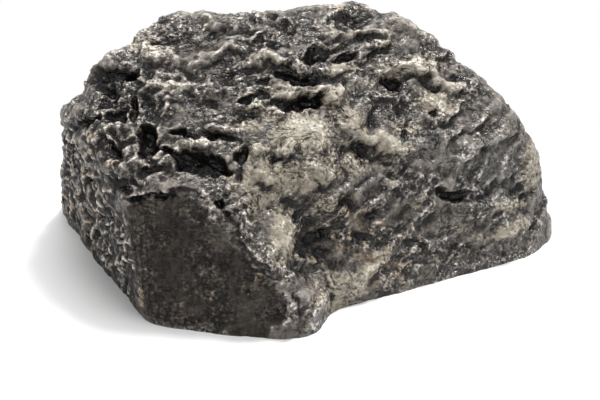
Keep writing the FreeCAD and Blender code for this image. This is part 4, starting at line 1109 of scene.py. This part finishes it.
def give(node, material):
    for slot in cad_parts[node].material_slots:
        slot.material = material


give("base_plate", finish_of(
    "plate_plastic", moulded, {"Grain Size": 1500.0},
    (0.017, 0.017, 0.018), (0.034, 0.033, 0.033), (0.42, 0.66), 8e-5))

# --------------------------------------------------------------------------- box_gasket
# A flat ring of black rubber, cut from sheet with a die. It is nipped between the key
# box and the plate's curb, and takes up what the moulding leaves uneven.
give("box_gasket", finish_of(
    "box_gasket_rubber", moulded, {"Grain Size": 2600.0, "Flow Size": 120.0},
    (0.016, 0.016, 0.017), (0.040, 0.039, 0.038), (0.62, 0.88), 4e-5, shine=0.35))

# ------------------------------------------------------------------------------ key_box
# The lid of black plastic that makes the dry space for the key, moulded with a smoother
# skin than the plate, since nobody sees it. Four screws hold it down on its gasket.
give("key_box", finish_of(
    "box_plastic", moulded, {"Grain Size": 2200.0, "Flow Size": 30.0},
    (0.020, 0.020, 0.022), (0.038, 0.038, 0.040), (0.28, 0.46), 4e-5))

# ---------------------------------------------------------------------------- box_screws
# Four small thread-forming screws of zinc-plated steel, cold headed and rolled, which
# form their own thread in the plate's curb and hold the box down.
give("box_screws", finish_of(
    "tapper_steel", machined, {"Line Size": 1800.0, "Stretch": 0.5},
    (0.42, 0.43, 0.45), (0.66, 0.66, 0.66), (0.24, 0.44), 2e-5, metal=1.0))

# ---------------------------------------------------------------------------- box_liner
# A die-cut sheet of closed-cell foam, stuck to the box's roof so that the key can't
# rattle. Cutting nips its edges thin, and its free side swells a little between them.
LINER_CENTRE, LINER_SIZE, LINER_CORNER = (-4.898, 11.248), (59.0, 25.0), 7.0
LINER_FIXED, LINER_FREE = 18.2, 16.2                 # mm, stuck side and free side
PAD_SIDES = 144
PAD_WAIST = 0.45                                     # mm, how far a side pulls in
PAD_ROWS = [(0.0, 0.0), (0.3, 0.0), (0.6, 0.0), (0.8, 0.0), (0.92, 0.0), (0.97, 0.02),
            (0.99, 0.08), (1.0, 0.22), (1.0, 0.36), (0.992, 0.50), (0.975, 0.62), (0.95, 0.70),
            (0.91, 0.77), (0.85, 0.83), (0.77, 0.88), (0.66, 0.925), (0.52, 0.96),
            (0.36, 0.985), (0.18, 0.997), (0.0, 1.0)]     # share of the outline, share up

foam_cells, given = effect_group("foam_cells", {"Cell Size": 1700.0})
bubbles = linked(foam_cells, "TexVoronoi",
                 {"Vector": given["Place"], "Scale": given["Cell Size"]},
                 feature="DISTANCE_TO_EDGE").outputs["Distance"]
thick = noise(foam_cells, given["Place"], 90.0, 3)
walls = sharpen(foam_cells, bubbles, 0.30, 0.02)
cell_shade = sum_of(foam_cells, sum_of(foam_cells, 0.25, walls, 0.25), thick, 0.35)
put_out(foam_cells, cell_shade, thick, walls)


def foam_pad(name, centre, size, corner, fixed, free, material):
    """A crowned pad, flat on its fixed side, with sides that pull in between corners."""
    half = np.array(size) / 2
    inner = half - corner
    ring = []
    for k in range(PAD_SIDES):
        a = 2 * math.pi * (k + 0.5) / PAD_SIDES
        d = np.array([math.cos(a), math.sin(a)])
        p = d * np.min(half / np.maximum(np.abs(d), 1e-9))
        if (np.abs(p) - inner).min() > 0:            # in a corner: onto its arc
            b = inner @ np.abs(d)
            q = b * b - inner @ inner + corner * corner
            p = d * (b + math.sqrt(max(q, 0)))
        ring.append(p * (1 - PAD_WAIST / half * (1 - (p[::-1] / half[::-1]) ** 2).clip(0, 1)))
    pad = bmesh.new()
    rows = []
    for share, up in PAD_ROWS:
        z = (fixed + (free - fixed) * up) / 1000
        around = ring if share else [np.zeros(2)]
        rows.append([pad.verts.new(((centre[0] + p[0] * share) / 1000,
                                    (centre[1] + p[1] * share) / 1000, z)) for p in around])
    for low, high in zip(rows[:-1], rows[1:]):
        for k in range(PAD_SIDES):
            n = (k + 1) % PAD_SIDES
            if len(low) == 1:
                pad.faces.new((low[0], high[n], high[k]))
            elif len(high) == 1:
                pad.faces.new((low[k], low[n], high[0]))
            else:
                pad.faces.new((low[k], low[n], high[n], high[k]))
    bmesh.ops.recalc_face_normals(pad, faces=pad.faces)
    for face in pad.faces:
        face.smooth = True
    mesh = bpy.data.meshes.new(name)
    pad.to_mesh(mesh)
    pad.free()
    mesh.materials.append(material)
    return placed(name, mesh)


liner_foam = finish_of("liner_foam", foam_cells, {"Cell Size": 1900.0}, (0.030, 0.030, 0.032),
                       (0.085, 0.085, 0.088), (0.80, 0.95), 6e-5, shine=0.3)
liner = foam_pad("roof_foam", LINER_CENTRE, LINER_SIZE, LINER_CORNER, LINER_FIXED, LINER_FREE,
                 liner_foam)
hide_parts("box_liner")
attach(liner, "rock")

# --------------------------------------------------------------------- door and hinge pin
# The door that the key sits on, moulded in the same black plastic with a finger tab, and
# the ground steel pin that it turns on, pressed through the plate's knuckles.
give("door", finish_of(
    "door_plastic", moulded, {"Grain Size": 1500.0, "Flow Size": 55.0},
    (0.018, 0.018, 0.019), (0.036, 0.035, 0.035), (0.40, 0.62), 8e-5))
give("hinge_pin", finish_of(
    "pin_steel", machined, {"Line Size": 2600.0, "Stretch": 0.9},
    (0.45, 0.45, 0.46), (0.62, 0.62, 0.63), (0.16, 0.30), 1e-5, metal=1.0))

# ---------------------------------------------------------------------------- door_seal
# A soft rubber ring, moulded flat in one piece and stuck down round the door's inner face.
# It meets the plate when the door is shut, and keeps the damp out.
give("door_seal", finish_of(
    "seal_rubber", moulded, {"Grain Size": 3000.0, "Flow Size": 160.0},
    (0.020, 0.020, 0.021), (0.046, 0.045, 0.044), (0.55, 0.80), 4e-5, shine=0.35))

# ----------------------------------------------------------------------------- door_pad
# The same closed-cell foam as the liner, cut a little smaller and stuck to the door's
# inner face, for the key to lie on.
PAD_CENTRE, PAD_SIZE, PAD_CORNER = (-4.898, 11.248), (56.0, 22.0), 5.0
PAD_FIXED, PAD_FREE = 4.9, 6.9                       # mm
pad_foam = finish_of("pad_foam", foam_cells, {"Cell Size": 1700.0}, (0.034, 0.034, 0.036),
                     (0.095, 0.095, 0.098), (0.80, 0.95), 6e-5, shine=0.3)
door_pad = foam_pad("door_foam", PAD_CENTRE, PAD_SIZE, PAD_CORNER, PAD_FIXED, PAD_FREE, pad_foam)
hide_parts("door_pad")
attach(door_pad, "door")

# --------------------------------------------------------------- catch magnet and keeper
# A nickel-plated disc magnet let into the plate, and the plain steel disc in the door
# that it pulls on, which together keep the door shut.
give("catch_magnet", finish_of(
    "magnet_nickel", machined, {"Line Size": 700.0, "Stretch": 1.0},
    (0.58, 0.56, 0.53), (0.72, 0.70, 0.67), (0.08, 0.18), 1e-5, metal=1.0))
give("catch_keeper", finish_of(
    "keeper_steel", machined, {"Line Size": 1500.0, "Stretch": 0.2},
    (0.36, 0.36, 0.37), (0.58, 0.58, 0.58), (0.28, 0.46), 2e-5, metal=1.0))

# --------------------------------------------------------------------------- base_gasket
# The wide ring of black rubber that keeps rain out between the casting and the plate. It
# is die cut, with an eye for each base screw.
give("base_gasket", finish_of(
    "gasket_rubber", moulded, {"Grain Size": 2400.0, "Flow Size": 90.0},
    (0.016, 0.016, 0.017), (0.042, 0.041, 0.040), (0.64, 0.88), 4e-5, shine=0.35))

# --------------------------------------------------------------------------- base_screws
# Four countersunk screws of stainless steel with crossed slots, turned up through the
# plate and the gasket's eyes into the brass inserts.
give("base_screws", finish_of(
    "screw_steel", machined, {"Line Size": 1600.0, "Stretch": 0.4},
    (0.44, 0.44, 0.44), (0.66, 0.65, 0.64), (0.22, 0.42), 2e-5, metal=1.0))

# ------------------------------------------------------------------------------- camera
# A long lens in front and a little above, where the rock's places are named from.
camera_data = bpy.data.cameras.new("camera")
camera_data.lens = LENS
camera_data.sensor_width = SENSOR
camera_data.clip_start = 0.01
camera = placed("camera", camera_data)
camera.location = EYE / 1000
camera.rotation_euler = (math.pi / 2 - EYE_RISE, 0, 0)
bpy.context.scene.camera = camera

# -------------------------------------------------------------------------------- floor
# A white sheet that glows evenly to the eye, except close round the rock, where it is
# plain and keeps the rock's shadow.
FLOOR_REACH = 3                                      # m, each way
PLAIN_TO, GLOWS_FROM = 0.046, 0.095                  # m from the middle
floor_mesh = bpy.data.meshes.new("floor")
corners = [(x * FLOOR_REACH, y * FLOOR_REACH, 0) for x, y in ((-1, -1), (1, -1), (1, 1), (-1, 1))]
floor_mesh.from_pydata(corners, [], [(0, 1, 2, 3)])
floor = placed("floor", floor_mesh)


def in_sight(tree):
    """1 where a ray comes from the camera, or from it by way of metal or glass."""
    path = linked(tree, "LightPath").outputs
    seen = path["Is Camera Ray"]
    for other in ("Is Glossy Ray", "Is Transmission Ray"):
        seen = linked(tree, "Math", {0: seen, 1: path[other]}, operation="MAXIMUM").outputs[0]
    return seen


white, tree, shader = new_material("white_floor")
shader.inputs["Base Color"].default_value = (0.93, 0.93, 0.93, 1)
shader.inputs["Roughness"].default_value = 0.9
shader.inputs["Specular IOR Level"].default_value = 0.0
glow = linked(tree, "Emission", {"Color": (1, 1, 1, 1), "Strength": 1.0})
away = linked(tree, "VectorMath", {0: linked(tree, "TexCoord").outputs["Object"]},
              operation="LENGTH").outputs["Value"]
away = linked(tree, "MapRange", {"Value": away, "From Min": PLAIN_TO,
                                 "From Max": GLOWS_FROM}).outputs[0]
both = linked(tree, "MixShader", {0: times(tree, in_sight(tree), away), 1: shader.outputs[0],
                                  2: glow.outputs[0]})
tree.links.new(both.outputs[0], tree.nodes["Material Output"].inputs["Surface"])
floor_mesh.materials.append(white)

# ------------------------------------------------------------------------------- lights
# Even daylight from all round, white to the eye, with four soft lamps above and in front.
LAMP_AIM = (0, 0, 0.02)                              # m
world = bpy.data.worlds.new("studio")
bpy.context.scene.world = world
world.use_nodes = True
tree = world.node_tree
sky = tree.nodes["Background"]
sky.inputs["Color"].default_value = (0.80, 0.80, 0.80, 1)
sky.inputs["Strength"].default_value = 0.36
backdrop = linked(tree, "Background", {"Color": (1, 1, 1, 1), "Strength": 1.0})
both = linked(tree, "MixShader", {0: in_sight(tree), 1: sky.outputs[0], 2: backdrop.outputs[0]})
tree.links.new(both.outputs[0], tree.nodes["World Output"].inputs["Surface"])
for name, spot, size, power in (                     # m, m, W
        ("top_light", (0.10, 0.10, 0.75), 0.50, 4.5),
        ("key_light", (0.18, 0.16, 0.78), 0.14, 4.2),
        ("front_light", (0.15, -0.80, 0.40), 0.50, 1.4),
        ("left_light", (-0.65, 0.05, 0.35), 0.06, 0.6)):
    data = bpy.data.lights.new(name, "AREA")
    data.shape = "DISK"
    data.size = size
    data.energy = power
    lamp = placed(name, data)
    lamp.location = spot
    lamp.rotation_euler = (Vector(LAMP_AIM) - Vector(spot)).to_track_quat("-Z", "Y").to_euler()

bpy.context.scene.view_settings.view_transform = "Standard"
